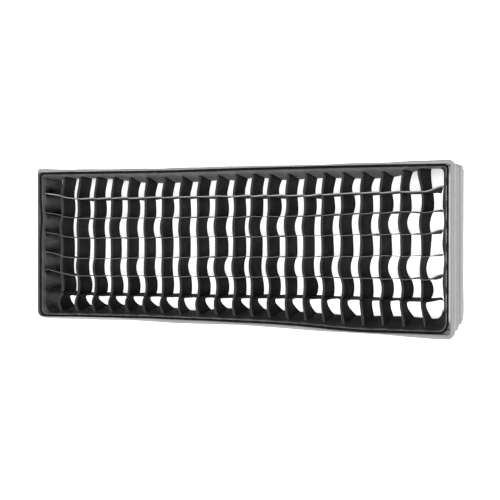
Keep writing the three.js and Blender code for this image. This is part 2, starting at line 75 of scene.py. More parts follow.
# ---------------- materials
class Look:
    """A Principled material with a chain of bumps and a mixed base colour."""

    def __init__(self, name, **sockets):
        self.material = bpy.data.materials.new(name)
        self.material.use_nodes = True
        self.tree = self.material.node_tree
        self.shader = self.tree.nodes["Principled BSDF"]
        for socket, value in sockets.items():
            self.shader.inputs[socket.replace("_", " ")].default_value = value
        self.place = self.node("TexCoord").outputs["Object"]
        self.axes = self.node("SeparateXYZ", Vector=self.place).outputs
        self.normal = None

    def node(self, kind, **inputs):
        """A new node, with a number or another node's output for each input."""
        made = self.tree.nodes.new("ShaderNode" + kind)
        for name, value in inputs.items():
            self.fill(made.inputs[name.replace("_", " ")], value)
        return made

    def fill(self, socket, value):
        if isinstance(value, bpy.types.NodeSocket):
            self.tree.links.new(value, socket)
        else:
            socket.default_value = value

    def math(self, operation, *values):
        made = self.node("Math")
        made.operation = operation
        for k, value in enumerate(values):
            self.fill(made.inputs[k], value)
        return made.outputs[0]

    def mapped(self, value, smooth=False, **limits):
        """A value taken from one range to another."""
        made = self.node("MapRange", Value=value, **limits)
        made.interpolation_type = "SMOOTHSTEP" if smooth else "LINEAR"
        return made.outputs[0]

    def noise(self, scale, detail=3.0, rough=0.5, stretch=(1, 1, 1)):
        at = self.node("Mapping", Vector=self.place, Scale=stretch).outputs["Vector"]
        return self.node("TexNoise", Vector=at, Scale=scale, Detail=detail, Roughness=rough).outputs["Fac"]

    def wave(self, along, pitch):
        return self.math("SINE", self.math("MULTIPLY", along, 2 * math.pi / pitch))

    def painted_low_shade(self):
        """Painted shade: from nothing at mid height to a darkening amount at the grid's lower edge."""
        return self.mapped(self.axes["Z"], From_Min=-0.19, From_Max=-0.02, To_Min=-0.4, To_Max=0.0)

    def pockets(self, pitch, offset, amount):
        """Painted light and shade: lighter at the middle of each cell's puff up a wall, darker in the creases
        at the strips' ends.
        """
        height = self.math("SUBTRACT", self.axes["Z"], offset - pitch / 4)
        return self.math("MULTIPLY", self.wave(height, pitch), amount)

    def weave(self, pitch):
        """Crossing threads along X, Y and Z, so that any flat panel shows two of them."""
        x, y, z = [self.wave(self.axes[axis], pitch) for axis in "XYZ"]
        return self.math("ADD", self.math("ADD", x, y), z)

    def bump(self, height, strength, distance):
        made = self.node("Bump", Height=height, Strength=strength, Distance=distance)
        if self.normal is not None:
            self.fill(made.inputs["Normal"], self.normal)
        self.normal = made.outputs["Normal"]
        self.fill(self.shader.inputs["Normal"], self.normal)

    def weave_bumps(self, *bumps, pitch, strength, distance):
        """Soft folds first, each a noise with its strength and height, and the threads on top."""
        for noise, fold_strength, height in bumps:
            self.bump(self.noise(*noise), fold_strength, height)
        self.bump(self.weave(pitch), strength, distance)

    def colour(self, value, low, high, start=0.3, end=0.7):
        made = self.node("ValToRGB", Fac=value)
        for stop, position, shade in zip(made.color_ramp.elements, (start, end), (low, high)):
            stop.position = position
            stop.color = (*shade, 1)
        self.fill(self.shader.inputs["Base Color"], made.outputs["Color"])

    def roughness(self, value, low, high):
        self.fill(self.shader.inputs["Roughness"], self.mapped(value, To_Min=low, To_Max=high))


def grey(value, warm=0.0):
    return (value + warm, value, value - warm)


def black_cloth(name, low, high, rough, sheen, pitch=1.1 * MM, shine=0.16, streaks=(1, 1, 1), shaded=False,
                painted_pocket_shade=False):
    look = Look(name, Sheen_Weight=sheen, Sheen_Roughness=0.45, Specular_IOR_Level=shine)
    blotch_and_shade = look.noise(18, 4, 0.6, streaks)
    # Painted shade: the cloth darkens towards the grid's lower edge.
    if shaded:
        blotch_and_shade = look.math("ADD", blotch_and_shade, look.painted_low_shade())
    # Painted light and shade on the left skirt's cells: darker in the creases at the strips' ends.
    if painted_pocket_shade:
        blotch_and_shade = look.math("ADD", blotch_and_shade, look.pockets(PITCH * MM, 14 * MM, 0.16))
    look.colour(blotch_and_shade, grey(low), grey(high), 0.25, 0.75)
    look.roughness(look.noise(60, 2), rough - 0.08, rough + 0.08)
    look.weave_bumps(((9, 3, 0.55), 0.5, 1.6 * MM), ((160, 2, 0.6), 0.25, 0.4 * MM),
                     pitch=pitch, strength=0.35, distance=0.12 * MM)
    return look.material


def shell_cloth(name):
    look = Look(name, Sheen_Weight=0.15, Sheen_Roughness=0.4, Specular_IOR_Level=0.45)
    look.colour(look.noise(5, 4, 0.55, (1.0, 1.6, 0.7)), grey(0.185, -0.002), grey(0.24, -0.002), 0.3, 0.72)
    look.roughness(look.noise(35, 3), 0.46, 0.62)
    look.weave_bumps(((26, 3, 0.5, (1.2, 1.2, 0.18)), 0.35, 1.8 * MM), ((120, 2, 0.6), 0.12, 0.4 * MM),
                     pitch=1.0 * MM, strength=0.3, distance=0.08 * MM)
    return look.material


def lining(name):
    look = Look(name, Metallic=0.75, Specular_IOR_Level=0.6)
    look.colour(look.noise(9, 4, 0.6), grey(0.58), grey(0.74))
    look.roughness(look.noise(70, 3), 0.32, 0.5)
    look.weave_bumps(((30, 4, 0.6), 0.4, 1.2 * MM), pitch=2.4 * MM, strength=0.35, distance=0.2 * MM)
    return look.material


# Axis, and the distances from the middle, in metres, between which the diffuser's painted glow dims, as
# painted shade towards its edges.
PAINTED_GLOW_FADES = (("X", 0.545, 0.598), ("Z", 0.150, 0.197))


def white_cloth(name, glow, middle=None, edge=None):
    """White cloth with a painted glow, though no lamp is inside it, which can dim towards the diffuser's
    edges as painted shade.
    """
    look = Look(name, Sheen_Weight=0.2, Specular_IOR_Level=0.3, Emission_Color=(1, 1, 0.99, 1),
                Emission_Strength=glow)
    look.colour(look.noise(7, 3, 0.5), (0.86, 0.86, 0.855), (0.93, 0.93, 0.925))
    look.roughness(look.noise(50, 2), 0.7, 0.85)
    look.weave_bumps(((12, 3, 0.5), 0.3, 1.5 * MM), pitch=0.9 * MM, strength=0.3, distance=0.08 * MM)
    # Painted shade: the painted glow dims towards the edges.
    if middle is not None:
        fades = []
        for axis, start, end in PAINTED_GLOW_FADES:
            off = look.math("ABSOLUTE", look.axes[axis])
            fades.append(look.mapped(off, True, From_Min=start, From_Max=end, To_Min=middle, To_Max=edge))
        look.fill(look.shader.inputs["Emission Strength"], look.math("MINIMUM", *fades))
    return look.material


def loop_pile(name, low, high):
    look = Look(name, Sheen_Weight=0.5, Sheen_Roughness=0.6, Specular_IOR_Level=0.2)
    fuzz = look.noise(900, 3, 0.7)
    look.colour(fuzz, grey(low), grey(high))
    look.roughness(look.noise(300, 2), 0.85, 0.98)
    look.bump(fuzz, 0.7, 0.6 * MM)
    return look.material


def metal(name, low, high, rough, turned):
    look = Look(name, Metallic=1.0, Specular_IOR_Level=0.5)
    look.colour(look.noise(28, 4, 0.6), grey(low), grey(high, 0.004))
    look.roughness(look.noise(90, 4, 0.65), rough - 0.08, rough + 0.12)
    if turned:
        grooves = look.node("TexWave", Vector=look.place, Scale=900.0, Distortion=0.6)
        grooves.wave_type = "RINGS"
        grooves.rings_direction = "Y"
        look.bump(grooves.outputs["Fac"], 0.18, 0.05 * MM)
    else:
        look.bump(look.noise(420, 3, 0.6), 0.35, 0.15 * MM)
    look.bump(look.noise(60, 2), 0.08, 0.3 * MM)
    return look.material


def smooth_look(name, low, high, shades, rough, rough_noise, fine, strength, distance, **sockets):
    """A hard even surface with fine grain: the moulded plastic, the thread and the rods."""
    look = Look(name, **sockets)
    look.colour(look.noise(shades, 3), grey(low), grey(high))
    look.roughness(look.noise(*rough_noise), *rough)
    look.bump(look.noise(fine, 2), strength, distance)
    return look.material


def plastic(name, low, high, rough):
    return smooth_look(name, low, high, 40, (rough - 0.06, rough + 0.1), (150, 3), 1400, 0.3, 0.08 * MM,
                       Specular_IOR_Level=0.5)


def fibreglass(name):
    return smooth_look(name, 0.018, 0.035, 60, (0.24, 0.42), (240, 2), 500, 0.15, 0.06 * MM,
                       Specular_IOR_Level=0.55, Coat_Weight=0.25, Coat_Roughness=0.2)


# The strips' cloth, with painted shade darkening it towards the grid's lower edge.
STRIP = black_cloth("strip_cloth", 0.003, 0.032, 0.8, 0.02, shine=0.09, shaded=True)
# Column hems: a doubled binding a little lighter than the strip cloth, with a painted highlight on the
# strips' front edges.
HEM = black_cloth("strip_hem", 0.034, 0.060, 0.75, 0.06)
# The rows' hems: a lighter copy of the hem cloth as a painted highlight where the rows are seen edge-on; the
# top row's, seen from below, has a stronger painted highlight.
ROW_HEM = black_cloth("row_hem", 0.10, 0.16, 0.7, 0.1)
TOP_ROW_HEM_PAINTED_HIGHLIGHT = black_cloth("top_row_hem_painted_highlight", 0.24, 0.34, 0.7, 0.1)
SKIRT = black_cloth("skirt_cloth", 0.003, 0.022, 0.7, 0.02, 1.3 * MM, 0.07)
# Left skirt: a copy of the skirt cloth, lightened as painted light and carrying painted crease shade.
SIDE_SKIRT_LIGHT_AND_SHADE = black_cloth("side_skirt_painted_light_and_shade", 0.001, 0.09, 0.7, 0.02, 1.3 * MM, 0.05, (1, 0.7, 2.2),
                         painted_pocket_shade=True)
RIM_TAPE = black_cloth("rim_tape", 0.055, 0.10, 0.7, 0.08, 1.3 * MM)
# Top skirt: a lighter copy of the skirt cloth, as painted light from below.
TOP_SKIRT_PAINTED_LIGHT = black_cloth("top_skirt_painted_light_cloth", 0.045, 0.10, 0.7, 0.12, 1.3 * MM)
BINDING = black_cloth("binding_tape", 0.003, 0.007, 0.6, 0.0, 1.6 * MM, 0.06)
SHELL = shell_cloth("shell_cloth")
LINING = lining("silver_lining")
# The diffuser's painted glow, dimmed to painted shade at its edges.
WHITE = white_cloth("diffuser_cloth", 0.85, 0.80, 0.12)
# A faint painted glow on the baffle.
BAFFLE = white_cloth("baffle_cloth", 0.05)
WEB = black_cloth("webbing", 0.03, 0.05, 0.7, 0.3, 2.2 * MM)
THREAD = plastic("grey_thread", 0.28, 0.36, 0.6)
DARK_THREAD = plastic("black_thread", 0.05, 0.08, 0.6)
LOOP = loop_pile("loop_tape", 0.02, 0.05)
HOOK = loop_pile("hook_tape", 0.55, 0.72)
ALLOY = metal("cast_alloy", 0.30, 0.42, 0.36, True)
STEEL = metal("plated_steel", 0.20, 0.32, 0.28, True)
FERRULE = metal("ferrule", 0.5, 0.6, 0.25, False)
ROD = fibreglass("rod")
KNOB = plastic("knob_plastic", 0.018, 0.03, 0.42)


# ---------------- mesh helpers
def add_piece(name, points, faces, materials, body, face_materials=None):
    mesh = bpy.data.meshes.new(name)
    mesh.from_pydata(np.asarray(points, float).reshape(-1, 3).tolist(), [], faces)
    for material in materials if isinstance(materials, (list, tuple)) else [materials]:
        mesh.materials.append(material)
    if face_materials is not None:
        mesh.polygons.foreach_set("material_index", face_materials)
    mesh.polygons.foreach_set("use_smooth", [True] * len(mesh.polygons))
    mesh.update()
    made = bpy.data.objects.new(name, mesh)
    bpy.context.scene.collection.objects.link(made)
    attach(made, body)
    return made


def loop_faces(rows, size, closed_rows=False, caps=True):
    """Quads round a row of closed loops of points; ends are capped unless the row closes."""
    faces = []
    for r in range(rows if closed_rows else rows - 1):
        a, b = r * size, ((r + 1) % rows) * size
        for k in range(size):
            n = (k + 1) % size
            faces.append((a + k, a + n, b + n, b + k))
    if caps and not closed_rows:
        faces.append(tuple(range(size - 1, -1, -1)))
        last = (rows - 1) * size
        faces.append(tuple(range(last, last + size)))
    return faces


def place(x, depth, z):
    """A point from its x and z and its depth behind the front edge, all in millimetres."""
    x, depth, z = np.broadcast_arrays(x, depth, z)
    return np.stack([x * MM, FRONT_Y + depth * MM, z * MM], -1)


def smooth_step(t):
    t = np.clip(t, 0, 1)
    return t * t * (3 - 2 * t)


def run_along(points):
    """Distance of each point along a line of points, from its start."""
    return np.concatenate([[0], np.cumsum(np.linalg.norm(np.diff(points, axis=0), axis=1))])


class Ripple:
    """Smooth repeatable waves over a surface, from a few sines with random phases."""

    def __init__(self, seed, terms, low, high):
        rng = np.random.default_rng(seed)
        self.wave = rng.uniform(low, high, terms) * rng.choice([-1, 1], terms)
        self.wave2 = rng.uniform(low, high, terms) * rng.choice([-1, 1], terms)
        self.phase = rng.uniform(0, 2 * math.pi, terms)
        self.size = rng.uniform(0.5, 1.0, terms)
        self.size /= self.size.sum()

    def __call__(self, a, b=0.0, across=1.0):
        total = 0
        for w, w2, p, s in zip(self.wave, self.wave2, self.phase, self.size):
            total = total + s * np.sin(w * np.asarray(a) + across * w2 * np.asarray(b) + p)
        return total


# ---------------- grid
# Corner radii, in the order of CORNERS.
RIM_RADII = (11.4, 11.4, 18.4, 23.4)
SKIRT_RADII = (8.0, 8.0, 15.0, 20.0)
LIP_RADII = (8, 9, 20, 9)

RIM_HALF_W = 591.0
RIM_HALF_H = 197.5
RIM_ROD_R = 3.0
RIM_DEPTH = 5.0
RIM_WIRE_R = 1.9
RIM_BINDING_R = 2.8
LEFT_BEND = 4.0
LEFT_BEND_AT = 75
SKIRT_HALF_W = RIM_HALF_W - 2 * RIM_ROD_R - 0.4
SKIRT_HALF_H = RIM_HALF_H - 2 * RIM_ROD_R - 0.4
GRID_BACK = 78.0
STRIP_FRONT = 13.0
STRIP_DEPTH = GRID_BACK - STRIP_FRONT

# Across a strip from its front hem to its back hem: millimetres in, and half the thickness.
STRIP_SECTION = (
    (0.0, 0.0), (0.5, 0.8), (1.8, 1.15), (4.5, 1.15), (8.4, 1.1), (9.6, 0.85), (10.2, 0.42), (15.0, 0.42),
    (22.0, 0.42), (30.0, 0.42), (38.0, 0.42), (47.0, 0.42), (55.0, 0.42), (60.4, 0.42), (61.2, 0.85),
    (63.6, 0.9), (65.0, 0.0),
)
HEM_WIDTH = 10.0

# How far each column's front and back edge hangs out of its even spacing, left to right, in mm.
FRONT_SWAY = (
    -8, -7.5, -5.5, -4, -4.5, -3.5, -1.5, -0.5, 1, 2.5, 3, 1, -2, -3.5, -5, -6.5, -6.5, -5.5, -5, -2.5, 0,
)
BACK_SWAY = (-7, -9, -9.5, -9.5, -8, -6.5, -5, -2.5, 0.5, 4.5, 6, 4, 1, -1.5, -2.5, -2, -1, 1, 0.5, -1, -5)
# Sideways bow of each cell from the lowest to the topmost, for the front edge and the back edge, in mm.
FRONT_BOW = (-5.5, 3.4, -4.2, 0.6, -3.8, 2.2, -0.6)
BACK_BOW = (-3.0, 6.2, -6.5, 1.0, -6.5, 3.6, -3.4)
# Rightward flare of the back edge's lower end, where the strip is sewn to the skirt, in mm.
BACK_FLARE = (2, 4, 7, 6, 5, 7, 4, 0, 7, 3, 9, 7, 9, 8, 4, 2, 9, 3, 4, 9, 7)
# Leftward slack of each column's back edge in the lowest cell, in mm, and its share from the hem to the row.
BACK_SLACK = (17, 16, 26, 20, 17, 17, 19, 24, 14, 22, 15, 16, 14, 12, 15, 18, 13, 3, 3, 12, 9)
SLACK_AT = (0.0, 0.15, 0.45, 0.8, 0.93, 1.0)
SLACK = (0.0, 0.42, 0.76, 0.98, 0.85, 0.0)
# Height of each row strip above its even spacing at four places from left to right, lowest row first, in mm.
ROW_RISE_AT = (-373, -58, 195, 455)
ROW_RISE = (
    (-2.1, -2.4, 0.4, -1.4), (-0.8, -0.3, 2.0, 0.0), (-6.0, -0.7, 0.4, 3.9),
    (-3.4, -1.2, 0.9, 5.3), (-2.1, -1.7, -1.0, 6.8), (-0.8, 0.4, -0.4, 4.6),
)
# Rise of each row's front edge where it twists into the right-hand skirt, lowest row first, in mm.
ROW_END_RISE = (3, 12, 4, 10, 3, 12)
# How far each row's back edge lies above its front edge, lowest row first, in mm.
ROW_TILT = (7.5, 0.8, 0.4, 0.2, -0.6, -4.6)
# Where the last column's back edge hangs at its upper crossings, from the third one up, in mm.
LAST_COLUMN_LEAN = (3.0, 7.0, 11.0, 10.0, 6.0)

# How far the front's lower and upper long edges hang off the drawn outline, from left to right, in mm.
LOW_EDGE_AT = (-575, -480, -240, -60, 110, 195, 280, 360, 560)
LOW_EDGE = (7, 8.5, 9, 6.5, 3, -0.5, -6.5, -11, -12)
HIGH_EDGE_AT = (-575, -340, -200, 0, 320, 480, 560)
HIGH_EDGE = (4, 2, 1, 2.5, 3, 2.5, 1.5)


def edge_sag(x, z):
    """How far the front's cloth hangs above or below the drawn outline, at its two long edges, in mm."""
    x, z = np.asarray(x), np.asarray(z)
    low = np.interp(x, LOW_EDGE_AT, LOW_EDGE)
    high = np.interp(x, HIGH_EDGE_AT, HIGH_EDGE)
    return low * smooth_step((-118.0 - z) / 75.0) + high * smooth_step((z - 118.0) / 75.0)


def widened(x):
    """The front's cloth is pulled a little to the right of the drawn outline, in mm."""
    return x * 1.0034 + 1.8


def left_bend(z, depth):
    """How far the left side of the rim's wire, and the cloth sewn to it, bends inwards, in mm."""
    bump = np.exp(-((np.asarray(z) - LEFT_BEND_AT) / 32) ** 2)
    return LEFT_BEND * bump * (1 - smooth_step((depth - RIM_DEPTH) / 30))


def slope_in(side, s):
    """How far a skirt's back edge lies inside its front edge, along a side, in mm."""
    if side == 1:
        ends = 14.0 * smooth_step((-s - 290) / 190) + 19.0 * smooth_step((s - 395) / 130)
        return 20.5 - ends - 8.5 * np.exp(-((s - 40) / 42) ** 2) + 1.6 * np.sin(s / 47.0)
    if side == 3:
        return 24.5 - 8.0 * np.exp(-((s + 150) / 60) ** 2) + 1.8 * np.sin(s / 61.0 + 1)
    if side == LEFT:
        return np.full_like(s, 15.0)
    return 35.0 + 2.0 * np.sin(s / 16.0 + 0.8)


CORNER_PLACES = (SKIRT_HALF_W, SKIRT_HALF_H, -SKIRT_HALF_W, -SKIRT_HALF_H)


def skirt_reach(side, s, depth):
    """Half size of the cloth box at a depth, just inside one skirt."""
    half = SKIRT_HALF_W if side % 2 == 0 else SKIRT_HALF_H
    reach = half - slope_in(side, s) * (depth - RIM_DEPTH) / (GRID_BACK - RIM_DEPTH) - 1.8
    return reach - left_bend(s, depth) if side == LEFT else reach


def even_places(count):
    """Places of evenly spaced strips across the grid, in mm from its middle."""
    return (np.arange(count) - (count - 1) / 2) * PITCH


def along_cells(per_cell, cells):
    """Cell number and local place, from 0 to 1, of each station along a strip."""
    steps = np.arange(cells * per_cell + 1)
    cell = np.minimum(steps // per_cell, cells - 1)
    return cell, steps / per_cell - cell


def shift_at(cell, local, knots, bows, slack=False):
    """Sideways shift at a station: even bows between the crossings, and a slack fold in the lowest cell."""
    ease = smooth_step(local)
    belly = max(math.sin(math.pi * local), 0.0) ** 0.75
    if slack and cell == 0:
        ease = smooth_step(local * 1.5)
        belly = float(np.interp(local, SLACK_AT, SLACK))
    return knots[cell] * (1 - ease) + knots[cell + 1] * ease + bows[cell] * belly


def strip_loop():
    """Section points of a strip round its outline: depth in mm, half thickness with its sign."""
    inner = STRIP_SECTION[1:-1]
    ring = [STRIP_SECTION[0]] + list(inner) + [STRIP_SECTION[-1]]
    ring += [(d, -t) for d, t in reversed(inner)]
    return np.array(ring)


SECTION = strip_loop()


def strip_mesh(name, grid_points, replaced, cloth, hem_cloth):
    rows, size = grid_points.shape[:2]
    deep = (SECTION[:, 0] + np.roll(SECTION[:, 0], -1)) / 2
    hem = [int(d < HEM_WIDTH) for d in deep] * (rows - 1) + [0, 0]
    piece = add_piece(name, grid_points, loop_faces(rows, size), [cloth, hem_cloth],
                      "grid", hem)
    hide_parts(replaced)
    STRIP_SEAMS.extend([grid_points[:, 4], grid_points[:, size - 4]])
    return piece


STRIP_SEAMS = []


def make_columns():
    """Upright strips, each hanging in its own bows between the rows that cross it."""
    stops = np.concatenate([[-1], even_places(ROWS), [1]])
    cells = ROWS + 1
    cell, local = along_cells(8, cells)
    depth = STRIP_FRONT + SECTION[:, 0]
    t = SECTION[:, 0] / STRIP_DEPTH
    for k, x0 in enumerate(even_places(COLUMNS)):
        rng = np.random.default_rng(100 + k)
        share = k / (COLUMNS - 1)
        size = 0.72 + 0.42 * share
        front_bows = np.array(FRONT_BOW) * size * rng.uniform(0.3, 1.6, cells)
        back_bows = np.array(BACK_BOW) * size * rng.uniform(0.2, 1.7, cells)
        back_bows[0] = -BACK_SLACK[k] + rng.uniform(-1.5, 1.5)
        front_bows[0] = -8.5 * (1 - share) + rng.uniform(-1, 1)
        front_knots = rng.uniform(-0.9, 0.9, cells + 1)
        back_knots = rng.uniform(-1.5, 1.5, cells + 1)
        front_knots[-1] = 7.5 - 2.0 * share if k < COLUMNS - 1 else -9.0
        back_knots[-1] = 7.0 - 1.5 * share if k < COLUMNS - 1 else -7.0
        front_knots[0] = -0.5 + 9.5 * share ** 1.3
        back_knots[0] = BACK_FLARE[k]
        if k == COLUMNS - 1:
            back_knots[3:] = LAST_COLUMN_LEAN
        belly = rng.uniform(-1.5, 1.5, cells)
        points = []
        for c, s in zip(cell, local):
            cut = 6.5 * np.exp(-(depth - STRIP_FRONT) / 10.0)
            low = -skirt_reach(3, x0, depth) + cut * 0.6 if c == 0 else stops[c]
            high = skirt_reach(1, x0, depth) - cut if c == cells - 1 else stops[c + 1]
            z = low + (high - low) * s
            f = FRONT_SWAY[k] + shift_at(c, s, front_knots, front_bows)
            b = BACK_SWAY[k] + shift_at(c, s, back_knots, back_bows, True)
            puff = belly[c] * math.sin(math.pi * s) * np.sin(math.pi * t)
            x = x0 + (1 - t) * f + t * b + puff + SECTION[:, 1]
            points.append(place(x, depth, z + row_rise_near(x0, z) + edge_sag(x, z)))
        number = f"{k + 1:02d}"
        piece = strip_mesh(f"column_strip_{number}", np.array(points), f"grid_column_{number}", STRIP, HEM)


def row_rise(j, x):
    return np.interp(x, ROW_RISE_AT, ROW_RISE[j])


def row_rise_near(x, z):
    """Rise of the columns' stitching, following the rows that cross them."""
    rises = [float(row_rise(j, x)) for j in range(ROWS)]
    return np.interp(z, np.concatenate([[-190], even_places(ROWS), [190]]), [0] + rises + [0])


def make_rows():
    """Level strips, stepped a little at each crossing and twisted into the right-hand skirt."""
    cells = COLUMNS + 1
    cell, local = along_cells(8, cells)
    stops = np.concatenate([[-1], even_places(COLUMNS) + FRONT_SWAY, [1]])
    depth = STRIP_FRONT + SECTION[:, 0]
    t = SECTION[:, 0] / STRIP_DEPTH
    for j, z0 in enumerate(even_places(ROWS)):
        rng = np.random.default_rng(400 + j)
        knots = np.zeros(cells + 1)
        saw = rng.uniform(0.9, 4.4, cells) * (0.55 + 0.65 * np.arange(cells) / cells)
        saw *= np.where(rng.random(cells) < 0.16, -0.6, 1.0)
        front_bows = rng.uniform(-0.7, 0.9, cells)
        back_bows = rng.uniform(-1.6, 1.6, cells)
        twist = rng.uniform(-1.2, 1.2, cells) * (3.0 if j == ROWS - 1 else 1.6)
        points = []
        for c, s in zip(cell, local):
            low = -skirt_reach(2, z0, depth) if c == 0 else stops[c]
            high = skirt_reach(0, z0, depth) if c == cells - 1 else stops[c + 1]
            x = low + (high - low) * s
            jog = saw[c] * np.interp(s, (0, 0.12, 0.88, 1), (0, -0.5, 0.5, 0))
            f = shift_at(c, s, knots, front_bows) + jog
            b = shift_at(c, s, knots, back_bows) + jog * 0.4 + ROW_TILT[j] + twist[c] * math.sin(math.pi * s)
            left_rise = 17.0 * smooth_step((-x - 476) / 115)
            right_rise = ROW_END_RISE[j] * smooth_step((x - 528) / 50)
            z = z0 + row_rise(j, x) + (1 - t) * (f + right_rise) + t * b + left_rise * (1 - 0.35 * t)
            z = z + SECTION[:, 1] * (0.95 if j == ROWS - 1 else 0.62)
            points.append(place(x, depth, z))
        # The lowest row's hem keeps the dark strip cloth as painted shade; the rows above carry the painted
        # highlight hems.
        piece = strip_mesh(f"row_strip_{j + 1}", np.array(points), f"grid_row_{j + 1}", STRIP,
                           (STRIP, ROW_HEM, ROW_HEM, ROW_HEM, ROW_HEM, TOP_ROW_HEM_PAINTED_HIGHLIGHT)[j])


def corners_with(radii):
    """Side signs and radius of each corner."""
    return [(sx, sz, r) for (_, sx, sz), r in zip(CORNERS, radii)]


def outline(half_w, half_h, arcs, counts):
    """Points and outward normals along arcs round corners, with evenly divided straights between them."""
    points, normals = [], []
    for k, ((sx, sz, r), angles) in enumerate(arcs):
        normal = np.stack([np.cos(angles), np.sin(angles)], -1)
        arc = np.array([sx * (half_w - r), sz * (half_h - r)]) + r * normal
        if k:
            share = np.arange(1, counts[k - 1])[:, None] / counts[k - 1]
            points.append(points[-1][-1] + (arc[0] - points[-1][-1]) * share)
            normals.append(np.repeat(normal[:1], len(share), 0))
        points.append(arc)
        normals.append(normal)
    return np.vstack(points), np.vstack(normals)


def rounded_loop(half_w, half_h, radii, step, arc=10):
    """Points round a rounded rectangle from its upper right corner, anticlockwise, with normals."""
    corners = corners_with(radii)
    arcs = [(corner, (k + np.arange(arc + 1) / arc) * math.pi / 2) for k, corner in enumerate(corners)]
    counts = [max(2, round(2 * half / step)) for half in (half_w, half_h) * 2]
    points, normals = outline(half_w, half_h, arcs + [(corners[0], np.zeros(1))], counts)
    return points[:-1], normals[:-1]


def sweep_round(loop, out, reach):
    """The x and z of a section's points, given by their reach outwards, all round a loop."""
    return loop[:, :1] + reach * out[:, :1], loop[:, 1:] + reach * out[:, 1:]


def make_rim():
    """Cloth binding wrapped round the spring wire at the grid's front, open along its seam."""
    loop, out = rounded_loop(RIM_HALF_W - RIM_ROD_R, RIM_HALF_H - RIM_ROD_R, RIM_RADII, 6)
    run = run_along(loop)
    arc = np.radians(np.linspace(-162, 162, 13))
    pucker = Ripple(5, 6, 0.05, 0.35)
    swell = (RIM_BINDING_R + 0.3 * pucker(run[:, None])) * (1 + 0.12 * np.clip(np.cos(arc - 0.9), 0, 1))
    reach = np.hstack([swell, swell[:, ::-1] - 0.6])
    angle = np.concatenate([arc, arc[::-1]]) + math.pi / 4
    x, z = sweep_round(loop, out, reach * np.cos(angle))
    left = loop[:, :1] < 40 - RIM_HALF_W
    x = x + left * left_bend(z, RIM_DEPTH)
    points = place(widened(x), RIM_DEPTH - reach * np.sin(angle), z + edge_sag(x, z))
    rim = add_piece("rim_binding", points, loop_faces(*reach.shape, True), BINDING, "grid")
    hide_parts(*[f"grid_rim_{side}" for side in SIDES])
    bent = loop[:, 0] + left[:, 0] * left_bend(loop[:, 1], RIM_DEPTH)
    centre = place(widened(bent), RIM_DEPTH, loop[:, 1] + edge_sag(loop[:, 0], loop[:, 1]))
    wire = sweep(np.vstack([centre[-1:], centre, centre[:1]]), RIM_WIRE_R * MM, 8, (0, 1, 0))[1:-1]
    add_piece("rim_wire", wire, loop_faces(len(wire), 8, True), ROD, "grid")


def make_threads(name, threads, material, body):
    """Many short round threads as one piece."""
    points, faces = [], []
    for rings in threads:
        base = len(points)
        points.extend(rings.reshape(-1, 3))
        faces.extend(tuple(base + i for i in f) for f in loop_faces(*rings.shape[:2]))
    return add_piece(name, np.array(points), faces, material, body)


def make_stitches(name, paths, pitch, radius, material, body):
    """Separate thread stitches along rows of points in metres, half sunk into the cloth."""
    threads = []
    for path in paths:
        path = np.asarray(path, float)
        run = run_along(path)
        for start in np.arange(int(run[-1] / (pitch * MM))) * pitch * MM:
            at = start + np.array([0.10, 0.22, 0.55, 0.67]) * pitch * MM
            line = np.stack([np.interp(at, run, path[:, k]) for k in range(3)], -1)
            threads.append(sweep(line, np.array([0.25, 1, 1, 0.25]) * radius * MM, 5, (0.31, 0.2, 0.93)))
    return make_threads(name, threads, material, body)



def skirt_line(side, count):
    """Straight side and the corner after it, as evenly spread points with outward normals."""
    corners = corners_with(SKIRT_RADII)
    facing = side * math.pi / 2
    arcs = [(corners[side - 1], np.array([facing])), (corners[side], facing + np.linspace(0, math.pi / 2, 9))]
    return outline(SKIRT_HALF_W, SKIRT_HALF_H, arcs, [count - 1])


def skirt_pull(side, s, corner):
    """Inward slope of a skirt, and of its neighbours at its two ends, as x and z over its whole depth."""
    pull = slope_in(side, s)[:, None] * side_axes(side)
    for near, share in (((side + 1) % 4, corner), ((side - 1) % 4, -corner)):
        reach = float(slope_in(near, np.float64(CORNER_PLACES[side])))
        pull = pull + reach * smooth_step((share - 0.80) / 0.2)[:, None] * side_axes(near)
    return pull


